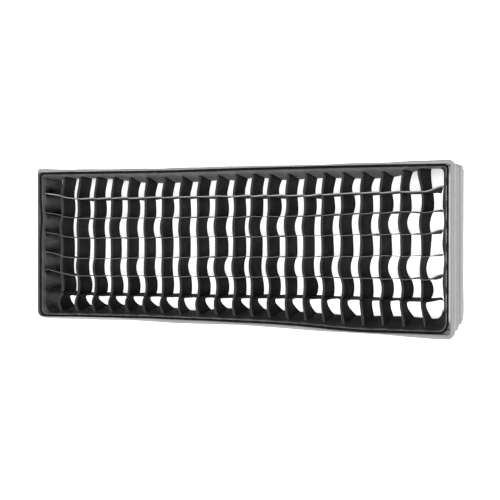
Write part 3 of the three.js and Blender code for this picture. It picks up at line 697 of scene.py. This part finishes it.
def make_skirt(side, name):
    """Cloth wall sloping in from the rim to the grid's back, puckered between the strips."""
    long_side = side % 2 == 1
    half = SKIRT_HALF_W if long_side else SKIRT_HALF_H
    count = 176 if long_side else 64
    levels = 15
    ripple, fold = Ripple(40 + side, 7, 0.02, 0.09), Ripple(60 + side, 6, 0.08, 0.2)
    puff, wild, wide = (7.5, 2.6, 3) if side == LEFT else (3.8, 1.0, 1)
    line, normal = skirt_line(side, count)
    s = line[:, 0] if long_side else line[:, 1]
    turned = turned_place(side, s)
    free = np.where(np.arange(len(s)) >= count, 0.3, 1.0) * (1 - 0.8 * smooth_step((62 - half - turned) / 50))
    billow = np.abs(np.sin((s / PITCH + (0.0 if long_side else 0.5)) * math.pi))
    pull = skirt_pull(side, s, np.clip(turned / half, -1, 1))
    outer, inner = [], []
    for v in np.linspace(0, 1, levels):
        depth = RIM_DEPTH - 1 + (GRID_BACK - RIM_DEPTH + 1) * v
        push = (puff * billow ** 1.4 - 1.0) * math.sin(math.pi * min(v * 1.15, 1)) ** 0.7
        push = push + 1.7 * wild * ripple(s, 40 * v) * math.sin(math.pi * v)
        push = push + 0.9 * wild * fold(s + 26 * v, 9 * v) * (0.35 + 0.65 * v)
        hem = 1.5 if v > 0.93 else (1.2 if v < 0.08 else 0.9)
        x, z = (line - pull * v + normal * (push * free)[:, None]).T
        if side == LEFT:
            x = x + left_bend(line[:, 1] - pull[:, 1] * v, depth)
        sag = edge_sag(x, z)
        outer.append(place(widened(x), depth, z + sag))
        inner.append(place(widened(x - normal[:, 0] * hem), depth, z - normal[:, 1] * hem + sag))
    section = np.concatenate([np.array(outer), np.array(inner)[::-1]], axis=0).transpose(1, 0, 2)
    taped = [1 if k < wide or k >= 2 * levels - 1 - wide else 0 for k in range(2 * levels)]
    marks = taped * (len(section) - 1) + [0, 0]
    # One cloth on all four skirts: the top copy carries painted light, and the left copy carries painted
    # light and shade.
    cloth = (SKIRT, TOP_SKIRT_PAINTED_LIGHT, SIDE_SKIRT_LIGHT_AND_SHADE, SKIRT)[side]
    piece = add_piece(f"skirt_{name}", section, loop_faces(*section.shape[:2]), [cloth, RIM_TAPE],
                      "grid", marks)
    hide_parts(f"grid_skirt_{name}")


def side_axes(side):
    """Outward direction of a side, as x and z."""
    return np.array(((1, 0), (0, 1), (-1, 0), (0, -1))[side])


def turned_place(side, s):
    """Place along a side, running anticlockwise."""
    return s * (1 if side in (0, 3) else -1)


# ---------------- shell
FRONT_HALF_W = 600.0
FRONT_HALF_H = 200.0
SHELL_DEPTH = 400.0
LIP_DEPTH = 80.0
REAR_HALF = 84.0
BOW_START = math.radians(8)
BOW_END = math.radians(75)
BOW_START_PULL = 170.0
BOW_END_PULL = 260.0

# Length of the steps round the mouth.
LOOP_STEP = 7.5
# How far inside the wall line the tapes and the diffuser's edge lie.
LOOP_TAPE_INSET = 3.1
HOOK_BAND_INSET = 4.1
DIFFUSER_INSET = 4.6
DIFFUSER_DEPTH = 81.0


def bow_curve(samples=400):
    """Half-width, half-height and depth of the wall line behind the lip."""
    p = np.array([
        (FRONT_HALF_W, LIP_DEPTH),
        (FRONT_HALF_W - BOW_START_PULL * math.sin(BOW_START),
         LIP_DEPTH + BOW_START_PULL * math.cos(BOW_START)),
        (REAR_HALF + BOW_END_PULL * math.sin(BOW_END),
         SHELL_DEPTH - BOW_END_PULL * math.cos(BOW_END)),
        (REAR_HALF, SHELL_DEPTH),
    ])
    t = np.linspace(0, 1, samples)[:, None]
    c = (1 - t) ** 3 * p[0] + 3 * (1 - t) ** 2 * t * p[1] + 3 * (1 - t) * t ** 2 * p[2] + t ** 3 * p[3]
    share = (FRONT_HALF_H - REAR_HALF) / (FRONT_HALF_W - REAR_HALF)
    return c[:, 0], REAR_HALF + share * (c[:, 0] - REAR_HALF), c[:, 1]


BOW_X, BOW_Z, BOW_D = bow_curve()


def wall_sizes(depth):
    """Half-width and half-height of the shell at a depth."""
    x = np.interp(depth, BOW_D, BOW_X, left=FRONT_HALF_W)
    z = np.interp(depth, BOW_D, BOW_Z, left=FRONT_HALF_H)
    return x, z


def corner_radii(depth):
    """Radius of the upper and of the lower corners at a depth; the cloth slackens behind the lip."""
    back = 1 - 0.75 * smooth_step((depth - 300) / 100)
    upper = 13 + 5 * smooth_step((depth - 84) / 60)
    lower = 13 + 24 * smooth_step((depth - 86) / 45)
    return upper * back, lower * back


def panel_line(side, half_w, half_h, r_up, r_low, count, arc=8):
    """One panel's section from corner seam to corner seam, with outward normals, anticlockwise."""
    corners = corners_with((r_up, r_up, r_low, r_low))
    middle = side * math.pi / 2
    arcs = [(corners[side - 1], np.linspace(middle - math.pi / 4, middle, arc)),
            (corners[side], np.linspace(middle, middle + math.pi / 4, arc))]
    return outline(half_w, half_h, arcs, [count])


PANEL_DEPTHS = np.concatenate([
    np.linspace(24, 48, 7), np.linspace(50, 86, 19), np.linspace(92, 330, 39), np.linspace(336, 400, 14)
])


def panel_points(side, offset, ripples):
    """One layer of a panel, hollowed between the rods, rippled and folded, row by row from the front."""
    long_side = side % 2 == 1
    count = 90 if long_side else 36
    rows = []
    slope = np.gradient(np.array([wall_sizes(d) for d in PANEL_DEPTHS]), PANEL_DEPTHS, axis=0)
    for i, depth in enumerate(PANEL_DEPTHS):
        half_w, half_h = wall_sizes(depth)
        r_up, r_low = corner_radii(depth)
        line, normal = panel_line(side, half_w, half_h, r_up, r_low, count)
        lean = math.atan(-slope[i, 1 if long_side else 0])
        s = line[:, 0] if long_side else line[:, 1]
        half = half_w if long_side else half_h
        middle = np.clip(1 - (s / max(half, 1)) ** 2, 0, 1)
        back = smooth_step((depth - 60) / 160) * (1 - smooth_step((depth - 330) / 70))
        push = -(9.0 if long_side else 4.0) * middle * back
        push = push + ripple_push(side, s, depth, middle, ripples)
        push = push + fold_lines(depth)
        out = push + offset
        x = line[:, 0] + normal[:, 0] * out * math.cos(lean)
        z = line[:, 1] + normal[:, 1] * out * math.cos(lean)
        d = depth + out * math.sin(lean)
        rows.append(place(x, np.clip(d, 0, SHELL_DEPTH + 1), z + shell_sag(x, z, depth)))
    return np.array(rows)


def ripple_push(side, s, depth, middle, ripples):
    """Tension streaks that run from rod to rod, softer near the seams, and pulls at the corners."""
    wide, fine = ripples
    streak = 2.1 * wide(depth, s, 0.16) * (0.35 + 0.65 * middle)
    small = 0.7 * fine(depth, s, 0.12)
    return (streak + small) * (0.3 * smooth_step((depth - 26) / 14) + 0.7 * smooth_step((depth - 84) / 26))


def fold_lines(depth):
    """The pressed fold behind the lip and the second one a hand's breadth back."""
    groove = -0.9 * np.exp(-((depth - 59) / 2.6) ** 2)
    roll = 1.6 * np.exp(-((depth - 67) / 5.0) ** 2)
    return groove + roll


def shell_sag(x, z, depth):
    """The lip follows the grid's sag; behind it the lower wall is drawn up again at the right."""
    hold = 1 - 0.7 * smooth_step((depth - 18) / 22) - 0.3 * smooth_step((depth - 50) / 120)
    drawn = smooth_step((depth - 53) / 17) * (1 - smooth_step((depth - 150) / 140))
    lift = 14.0 * smooth_step((np.asarray(x) - 330) / 200) * smooth_step((-60.0 - np.asarray(z)) / 110.0)
    return edge_sag(x, z) * hold + lift * drawn


PANEL_SEAMS = []


def make_panels():
    """Four panels from the lip to the ring, grey outside and silver inside."""
    for side, name in enumerate(SIDES):
        ripples = (Ripple(80 + side, 7, 0.05, 0.13), Ripple(90 + side, 8, 0.16, 0.34))
        outer = panel_points(side, 0.0, ripples)
        inner = panel_points(side, -1.1, ripples)
        PANEL_SEAMS.extend([outer[2:-1, 5], outer[2:-1, -6]])
        section = np.concatenate([outer, inner[::-1]], axis=0).transpose(1, 0, 2)
        deep = len(PANEL_DEPTHS)
        inside = [int(deep - 1 <= k < 2 * deep - 1) for k in range(2 * deep)] * (len(section) - 1) + [0, 0]
        piece = add_piece(f"shell_{name}", section, loop_faces(*section.shape[:2]), [SHELL, LINING],
                          "shell", inside)
        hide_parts(f"panel_{name}")


# Round the lip's section from the inner layer's back edge, over the padded front hem, to the outer layer's:
# millimetres outwards from the wall line, and depth. Both layers share the deep places.
LIP_DEEP = (72.0, 68.0, 65.0, 62.0, 59.0, 56.0, 52.0, 44.0)
LIP_FRONT = (
    (-2.8, 30.0), (-2.7, 20.0), (-2.5, 12.0), (-2.4, 7.0), (-2.3, 4.2), (-2.0, 2.2), (-1.2, 0.8), (-0.2, 0.2),
    (1.0, 0.4), (2.4, 1.5), (3.0, 4.0), (2.9, 8.0), (2.4, 12.0), (2.2, 13.4), (2.4, 15.0), (2.4, 20.0),
    (2.3, 25.0), (2.1, 28.6), (1.4, 30.2), (0.3, 30.4), (0.2, 29.4), (0.7, 27.4), (0.6, 20.0), (0.3, 12.0),
    (-0.5, 9.0), (-1.4, 14.0), (-1.8, 30.0),
)
LIP_SECTION = ((-2.6, 76.0),) + tuple((-2.8, d) for d in LIP_DEEP) + LIP_FRONT
LIP_SECTION += tuple((-1.8, d) for d in LIP_DEEP[::-1]) + ((-1.6, 76.0),)
LIP_SEAMS = (LIP_SECTION.index((2.2, 13.4)), LIP_SECTION.index((2.3, 25.0)))


# How much fuller the front hem is than its section, along the lower and the upper edge, in mm.
LOW_HEM_AT = (-575, -340, -240, -155, 24, 195, 280, 360, 470, 560)
LOW_HEM = (-3.5, -2.5, 3, 5, 2, 4, 1, -2.5, 2.5, 7)
HIGH_HEM_AT = (-585, -520, 100, 195, 280, 330, 440, 570)
HIGH_HEM = (4, 1.5, -0.5, -2, -2, -0.5, 0, 4.5)


def hem_swell(x, out_x, out_z):
    """Fullness of the front hem at a place round the mouth, from its outward direction, in mm."""
    low = np.interp(x, LOW_HEM_AT, LOW_HEM)
    high = np.interp(x, HIGH_HEM_AT, HIGH_HEM)
    return out_z ** 2 * np.where(out_z > 0, high, low) + out_x ** 2 * np.where(out_x > 0, 5.5, -4.0)


def make_lip():
    """The stitched band round the mouth of the shell, with a padded front hem."""
    loop, out = rounded_loop(FRONT_HALF_W, FRONT_HALF_H, LIP_RADII, LOOP_STEP)
    run = run_along(loop)[:, None]
    puff = Ripple(21, 8, 0.01, 0.06)
    fine = Ripple(22, 8, 0.08, 0.3)
    reach, depth = np.array(LIP_SECTION).T
    front = np.clip(1 - depth / 34, 0, 1)
    behind = (reach > -2) & (reach < -1) & (depth > 25)
    soft = 0.7 * puff(run) + 0.28 * fine(run)
    pushed = reach + soft * front * np.sign(reach + 0.6) + 0.25 * soft
    pushed = pushed + np.where(depth > 34, fold_lines(depth), 0)
    corner = 4 * out[:, :1] ** 2 * out[:, 1:] ** 2
    pushed = pushed - corner * (0.8 * behind + 1.6 * smooth_step((depth - 58) / 8))
    swell = hem_swell(loop[:, :1], out[:, :1], out[:, 1:]) * smooth_step((reach + 2) / 3)
    x, z = sweep_round(loop, out, pushed + front * swell)
    x = x + front * 1.8
    rows = place(x, depth + 0.5 * fine(run + 40) * front, z + shell_sag(x, z, depth))
    inside = [1 if depth > 25 and reach < -1 else 0 for reach, depth in LIP_SECTION] * len(loop)
    piece = add_piece("lip_band", rows, loop_faces(*rows.shape[:2], True), [SHELL, LINING],
                      "shell", inside)
    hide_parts(*[f"lip_{side}" for side in SIDES])
    lines = [np.vstack([rows[:, k], rows[:1, k]]) for k in LIP_SEAMS]
    make_stitches("lip_stitches", lines, 5.0, 0.5, THREAD, "shell")


def sweep(path, radii, sides=10, side_axis=(0, 0, 1)):
    """Round tube along points in metres, with a radius at each, as closed rings."""
    path = np.asarray(path, float)
    radii = np.broadcast_to(radii, len(path))
    rings = []
    for i, p in enumerate(path):
        along = path[min(i + 1, len(path) - 1)] - path[max(i - 1, 0)]
        along = along / np.linalg.norm(along)
        u = np.array(side_axis, float)
        u = u - along * (u @ along)
        u = u / np.linalg.norm(u)
        w = np.cross(along, u)
        a = np.linspace(0, 2 * math.pi, sides, endpoint=False)[:, None]
        rings.append(p + radii[i] * (np.cos(a) * u + np.sin(a) * w))
    return np.array(rings)


def corner_path(sx, sz, depths, gap):
    """Line along a corner, a set distance inside the rounded cloth, in metres."""
    points = []
    for depth in depths:
        half_w, half_h = wall_sizes(depth)
        r_up, r_low = corner_radii(depth)
        r = r_up if sz > 0 else r_low
        reach = math.sqrt(0.5) * (r - gap)
        slope = math.sqrt(0.5) * gap
        lean = smooth_step((depth - 250) / 150)
        x = half_w - r + reach - slope * 0.5 * lean
        z = half_h - r + reach - slope * 0.2 * lean
        sag = shell_sag(sx * x, sz * z, depth)
        points.append(place(sx * x, depth - max(gap, 0) * 1.15 * lean, sz * z + sag))
    return np.array(points)


def make_seams():
    """Piping over each corner seam, and the stitches beside it."""
    depths = np.concatenate([np.linspace(31, 320, 60), np.linspace(324, 399, 30)])
    for name, sx, sz in CORNERS:
        path = corner_path(sx, sz, depths, -0.6)
        rings = sweep(path, 1.5 * MM, 8)
        add_piece(f"piping_{name}", rings, loop_faces(len(rings), 8), SHELL, "shell")
    make_stitches("seam_stitches", PANEL_SEAMS, 5.0, 0.45, THREAD, "shell")


def rod_line(sx, sz):
    """Centre line of a rod from its tip pocket to the bottom of its socket, in metres."""
    share = np.linspace(0, 1, 17)
    at = (share * (len(BOW_D) - 1)).round().astype(int)
    slope_x, slope_z, slope_d = np.gradient(BOW_X), np.gradient(BOW_Z), np.gradient(BOW_D)
    inset = 6.2 + 1.3 * share
    lean_x = np.arctan2(-slope_x[at], slope_d[at])
    lean_z = np.arctan2(-slope_z[at], slope_d[at])
    r_up, r_low = corner_radii(BOW_D[at])
    recede = (r_up if sz > 0 else r_low) * (math.sqrt(2) - 1)
    extra = np.maximum(0, (recede + 4.2) / math.sqrt(2) - inset) * (1 - smooth_step((share - 0.8) / 0.2))
    x = BOW_X[at] - inset * np.cos(lean_x) - extra
    z = BOW_Z[at] - inset * np.cos(lean_z) - extra
    depth = BOW_D[at] - inset * (np.sin(lean_x) + np.sin(lean_z))
    line = place(sx * x, depth, sz * z + shell_sag(sx * x, sz * z, depth))
    start = line[1] - line[0]
    line[0] = line[0] + start / np.linalg.norm(start) * 6 * MM
    end = line[-1] - line[-2]
    return np.vstack([line, line[-1] + end / np.linalg.norm(end) * 7 * MM])


def make_rods():
    """Glass-fibre rods with a steel ferrule where each plugs into its socket and a domed tip."""
    for name, sx, sz in CORNERS:
        fine = resample(rod_line(sx, sz), 90)
        radii = np.full(len(fine), 2.2 * MM)
        radii[:2] = np.array([1.2, 2.2]) * MM
        radii[2:6] = 2.5 * MM
        radii[-12:] = 2.5 * MM
        rings = sweep(fine, radii, 12)
        marks = [int(r < 6 or r > len(rings) - 14) for r in range(len(rings) - 1) for _ in range(12)] + [1, 1]
        piece = add_piece(f"rod_piece_{name}", rings, loop_faces(len(rings), 12), [ROD, FERRULE],
                          "shell", marks)
        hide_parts(f"rod_{name}")


def resample(points, count):
    """Evenly spaced points along a line."""
    run = run_along(points)
    at = np.linspace(0, run[-1], count)
    return np.stack([np.interp(at, run, points[:, k]) for k in range(3)], -1)


# ---------------- tapes, diffuser, baffle, collar
def make_band(name, inset, radius, section, materials, marks, body, seed, soft):
    """Closed ribbon round the inside of the lip, from a section of (outward, depth) points."""
    loop, out = rounded_loop(FRONT_HALF_W - inset, FRONT_HALF_H - inset, [radius] * 4, LOOP_STEP)
    wave = Ripple(seed, 7, 0.03, 0.2)
    reach, depth = np.array(section).T
    x, z = sweep_round(loop, out, reach + soft * (wave(run_along(loop)[:, None]) - 1) * 0.5)
    rows = place(x, depth, z + shell_sag(x, z, depth))
    faces = loop_faces(*rows.shape[:2], True)
    return add_piece(name, rows, faces, materials, body, marks * len(loop))


def make_tapes():
    """Loop tape sewn inside the lip, and the diffuser's hook band that sticks to it."""
    steps = np.arange(53, 78, 3)
    tape = [(0.0, 50.4), (-0.15, 50.0), (-0.65, 50.0)] + [(-0.8, d) for d in steps]
    tape += [(-0.8, 78.4), (-0.65, 79.0), (-0.15, 79.0), (0.0, 78.6)] + [(0.0, d) for d in steps[::-1]]
    pile = [1 if 2 < k < 3 + len(steps) else 0 for k in range(len(tape))]
    loop = make_band("loop_tape_sewn", LOOP_TAPE_INSET, 17, tape, [WEB, LOOP], pile,
                     "shell", 31, 0.3)
    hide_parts("loop_tape")
    steps = np.arange(57, 79, 3)
    hook = [(0.0, 54.5), (-0.2, 54.0), (-0.8, 54.0)] + [(-1.0, d) for d in steps]
    hook += [(-1.0, 79.4), (-0.8, 80.0), (-0.2, 80.0), (0.0, 79.6)] + [(0.0, d) for d in steps[::-1]]
    hooks = [1 if k > 5 + len(steps) else 0 for k in range(len(hook))]
    band = make_band("diffuser_hook_band_sewn", HOOK_BAND_INSET, 16, hook, [BAFFLE, HOOK], hooks,
                     "diffuser", 33, 0.3)
    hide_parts("diffuser_hook_band")


def rounded_grid(half_w, half_h, radius, across, down):
    """Even grid of points over a rounded rectangle, as x and z arrays."""
    x, z = np.meshgrid(np.linspace(-half_w, half_w, across), np.linspace(-half_h, half_h, down))
    u = (np.abs(x) - (half_w - radius)) / radius
    v = (np.abs(z) - (half_h - radius)) / radius
    in_corner = (u > 0) & (v > 0)
    scale = np.where(in_corner, np.maximum(u, v) / np.maximum(np.hypot(u, v), 1e-9), 1.0)
    x = np.where(in_corner, np.sign(x) * (half_w - radius + u * scale * radius), x)
    z = np.where(in_corner, np.sign(z) * (half_h - radius + v * scale * radius), z)
    return x, z


def sheet_faces(across, down):
    """Front and back layers of a grid, joined round the border."""
    layer = across * down
    faces = []
    for r in range(down - 1):
        for c in range(across - 1):
            a = r * across + c
            quad = (a, a + 1, a + across + 1, a + across)
            faces.append(quad)
            faces.append(tuple(layer + i for i in reversed(quad)))
    edge = list(range(across)) + [r * across + across - 1 for r in range(1, down)]
    edge += [(down - 1) * across + c for c in range(across - 2, -1, -1)]
    edge += [r * across for r in range(down - 2, 0, -1)]
    for i, a in enumerate(edge):
        b = edge[(i + 1) % len(edge)]
        faces.append((b, a, layer + a, layer + b))
    return faces


def make_diffuser():
    """The white front cloth, puckered along its edge and a little hollow in the middle."""
    across, down = 181, 61
    half_w, half_h = FRONT_HALF_W - DIFFUSER_INSET, FRONT_HALF_H - DIFFUSER_INSET
    x, z = rounded_grid(half_w, half_h, 15, across, down)
    near = np.minimum(half_w - np.abs(x), half_h - np.abs(z))
    edge = np.exp(-near / 17.0)
    pucker = Ripple(51, 9, 0.06, 0.22)
    wide = Ripple(52, 6, 0.006, 0.025)
    flat = np.clip(near / 12.0, 0, 1)
    billow = 2.6 * np.clip(near / 120.0, 0, 1) ** 0.7
    depth = DIFFUSER_DEPTH + flat * (billow + 2.2 * edge * pucker(x, z * 0.8) + 0.9 * wide(x, z))
    z = z + shell_sag(x, z, 80.0)
    front, back = place(x, depth, z), place(x, depth + 0.55, z)
    piece = add_piece("diffuser_cloth", np.array([front, back]), sheet_faces(across, down), WHITE,
                      "diffuser")
    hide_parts("front_diffuser")


BAFFLE_DEPTH = 214.0
BAFFLE_HALF_W = 410.0
BAFFLE_HALF_H = 122.0
# Where a strap meets the rod: x and z in mm, in the upper right quarter.
STRAP_END = (490.0, 158.5)


def make_baffle():
    """Inner cloth with curved sides, pulled taut by a strap at each corner."""
    across, down = 121, 41
    u, v = np.meshgrid(np.linspace(-1, 1, across), np.linspace(-1, 1, down))
    x = BAFFLE_HALF_W * u - 9.0 * u * (1 - v * v)
    z = BAFFLE_HALF_H * v - 7.0 * v * (1 - u * u)
    pull = np.clip(np.abs(u) + np.abs(v) - 1.35, 0, 1)
    crease = Ripple(55, 7, 0.015, 0.06)
    hem = np.minimum(BAFFLE_HALF_W * (1 - np.abs(u)), BAFFLE_HALF_H * (1 - np.abs(v)))
    thick = np.where(hem < 11, 0.75, 0.35)
    depth = BAFFLE_DEPTH + 0.8 + 1.8 * crease(x, z) * (0.35 + pull) + 2.5 * (1 - u * u) * (1 - v * v)
    cloth = add_piece("baffle_cloth", np.array([place(x, depth - thick, z), place(x, depth + thick, z)]),
                      sheet_faces(across, down), BAFFLE, "baffle")
    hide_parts("inner_baffle")
    straps = [make_strap(name, sx, sz) for name, sx, sz in CORNERS]


# Across a strap: share of its half width, and of its half thickness.
STRAP_SECTION = (
    (-1, -1), (-0.5, -1.1), (0, -1.15), (0.5, -1.1), (1, -1), (1, 1), (0.5, 1.1), (0, 1.15), (-0.5, 1.1),
    (-1, 1),
)


def make_strap(name, sx, sz):
    """Elastic strap from the baffle's corner to the rod, doubled back and sewn at both ends."""
    start = np.array([BAFFLE_HALF_W - 16, BAFFLE_HALF_H - 7.5])
    end = np.array(STRAP_END)
    along = (end - start) / np.linalg.norm(end - start)
    side = np.array([-along[1], along[0]])
    a, b = np.array(STRAP_SECTION).T
    rows = []
    for t in np.linspace(0, 1, 41):
        doubled = 0.55 if t < 0.24 or t > 0.78 else 0.0
        half = 7.6 - 1.1 * math.sin(math.pi * np.clip((t - 0.24) / 0.54, 0, 1))
        x, z = (start + (end - start) * t + side * half * a[:, None]).T
        depth = BAFFLE_DEPTH + 2.2 + b * (0.55 + doubled) + 0.7 * np.sin(5 * t + a)
        rows.append(place(sx * x, depth, sz * z))
    strap = add_piece(f"baffle_strap_{name}", np.array(rows), loop_faces(len(rows), len(a)), WEB,
                      "baffle")
    threads = []
    for t in (0.04, 0.2, 0.82, 0.96):
        for k in range(-4, 5):
            p = start + (end - start) * t + side * k * 1.5
            first, last = [place(sx * x, BAFFLE_DEPTH + 0.8, sz * z) for x, z in (p, p + side * 0.95)]
            top = (first + last) / 2 - np.array([0, 0.15 * MM, 0])
            threads.append(sweep([first, top, last], np.array([0.15, 0.4, 0.15]) * MM, 5, (0, 1, 0)))
    make_threads(f"baffle_strap_thread_{name}", threads, THREAD, "baffle")
    return f"baffle_strap_{name}"


# From the collar's seam to the rolled edge of its hole and back: share of its width, and depth in mm.
COLLAR_SECTION = (
    (1.0, 0.9), (0.6, 0.1), (0.3, 0.1), (0.06, 0.1), (0.02, -0.5), (0.0, 0.4), (0.0, 1.4), (0.02, 2.1),
    (0.06, 1.4), (0.3, 1.35), (0.6, 1.35), (1.0, 1.6),
)
COLLAR_HOLE_R = 76.9
COLLAR_SQUARENESS = 26.0


def make_collar():
    """Cloth collar closing the shell round the speedring, with a rolled edge at its hole."""
    share, depth = np.array(COLLAR_SECTION).T
    wave = Ripple(71, 5, 2.0, 9.0)
    count = 144
    rings = []
    for k in range(count):
        a = 2 * math.pi * k / count
        n = np.array([math.cos(a), math.sin(a)])
        outer = (REAR_HALF - 0.6) / (abs(n) ** COLLAR_SQUARENESS).sum() ** (1 / COLLAR_SQUARENESS)
        r = COLLAR_HOLE_R + (outer - COLLAR_HOLE_R) * share
        soft = 0.35 * wave(round(a, 6)) * share * (1 - share) * 4
        rings.append(place(r * n[0], SHELL_DEPTH + 0.2 + depth + soft, r * n[1]))
    piece = add_piece("collar_cloth", np.array(rings), loop_faces(count, len(share), True), SHELL,
                      "shell")
    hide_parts("rear_collar")


# Round a pocket's wall from inside its closed end: distance along the rod, and radius, in mm.
POCKET_SECTION = (
    (-1.6, 0.4), (-1.6, 2.2), (-1.2, 3.4), (0.5, 3.9), (6.0, 4.0), (12.0, 4.0), (19.0, 4.1), (23.0, 4.4),
    (24.0, 4.3), (24.0, 3.7), (23.0, 3.6), (19.0, 3.3), (12.0, 3.2), (6.0, 3.2), (0.4, 3.1), (-0.8, 2.2),
    (-0.9, 0.4),
)


def make_pockets():
    """Webbing sleeve over each rod's tip, sewn into the corner behind the lip."""
    sides = 20
    for name, sx, sz in CORNERS:
        line = rod_line(sx, sz)
        start = (line[1] - line[0]) / np.linalg.norm(line[1] - line[0])
        u = np.array([0, 0, 1.0]) - start * start[2]
        u /= np.linalg.norm(u)
        w = np.cross(start, u)
        rings = []
        for k in range(sides):
            a = 2 * math.pi * k / sides
            out = math.cos(a) * u + math.sin(a) * w
            rings.append([line[0] + (start * d + out * r) * MM for d, r in POCKET_SECTION])
        faces = loop_faces(sides, len(POCKET_SECTION), True)
        sleeve = add_piece(f"pocket_{name}", np.array(rings), faces, WEB, "shell")
        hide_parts(f"tip_pocket_{name}")


def dress_metal():
    """Soft edges and real surfaces for the turned, cast and moulded parts."""
    for name, material, width in (("speedring", ALLOY, 0.7), ("bayonet_insert", STEEL, 0.4),
                                  ("retaining_ring", STEEL, 0.3), ("locking_knob", KNOB, 0.5)):
        part = NODES[name]
        part.data.materials.clear()
        part.data.materials.append(material)
        edge = part.modifiers.new("edge", "BEVEL")
        edge.width = width * MM
        edge.segments = 2
        edge.limit_method = "ANGLE"
        edge.angle_limit = math.radians(35)


# ---------------- stage and light
# Floor and backdrop from front to back: y and z in metres.
SWEEP_PROFILE = ((-12, -1.9), (6.4, -1.9), (8.0, -1.7), (9.0, -1.0), (9.5, 0.3), (9.6, 9.0))
SWEEP_HALF_W = 14


def make_stage():
    """Pale floor that curves up into a backdrop far behind."""
    points = [(x, y, z) for y, z in SWEEP_PROFILE for x in (-SWEEP_HALF_W, SWEEP_HALF_W)]
    faces = [(2 * k, 2 * k + 1, 2 * k + 3, 2 * k + 2) for k in range(len(SWEEP_PROFILE) - 1)]
    mesh = bpy.data.meshes.new("studio_sweep")
    mesh.from_pydata(points, [], faces)
    mesh.polygons.foreach_set("use_smooth", [True] * len(faces))
    sweep_object = bpy.data.objects.new("studio_sweep", mesh)
    bpy.context.scene.collection.objects.link(sweep_object)
    look = Look("studio_paper", Roughness=0.9, Base_Color=(0.9, 0.9, 0.9, 1), Emission_Color=(1, 1, 1, 1),
                Emission_Strength=0.62)
    mesh.materials.append(look.material)


def area_light(name, at, aim, size, power):
    data = bpy.data.lights.new(name, "AREA")
    data.shape = "RECTANGLE"
    data.size, data.size_y = size
    data.energy = power
    light = bpy.data.objects.new(name, data)
    bpy.context.scene.collection.objects.link(light)
    light.location = at
    light.visible_camera = False
    direction = np.array(aim, float) - np.array(at, float)
    light.rotation_euler = Vector(direction).to_track_quat("-Z", "Y").to_euler()


def make_lights():
    """Even white surroundings with three soft panels in front, below and at the right."""
    world = bpy.data.worlds.new("studio")
    bpy.context.scene.world = world
    world.use_nodes = True
    world.node_tree.nodes["Background"].inputs["Color"].default_value = (1, 1, 1, 1)
    world.node_tree.nodes["Background"].inputs["Strength"].default_value = 1.0
    area_light("key", (1.4, -3.8, 0.9), (0, -0.3, 0), (2.4, 1.4), 10)
    area_light("low", (0.6, -2.9, -0.95), (0, -0.35, 0.15), (3.0, 1.2), 44)
    area_light("side", (3.2, -0.8, 0.4), (0.3, -0.2, 0), (1.6, 1.6), 6)
    bpy.context.scene.view_settings.view_transform = "Standard"


make_columns()
make_rows()
make_stitches("strip_stitches", STRIP_SEAMS, 6.0, 0.42, DARK_THREAD, "grid")
make_rim()
for side, name in enumerate(SIDES):
    make_skirt(side, name)
make_lip()
make_panels()
make_seams()
make_rods()
make_stage()
make_lights()

make_tapes()
make_diffuser()
make_baffle()
make_collar()
make_pockets()
dress_metal()
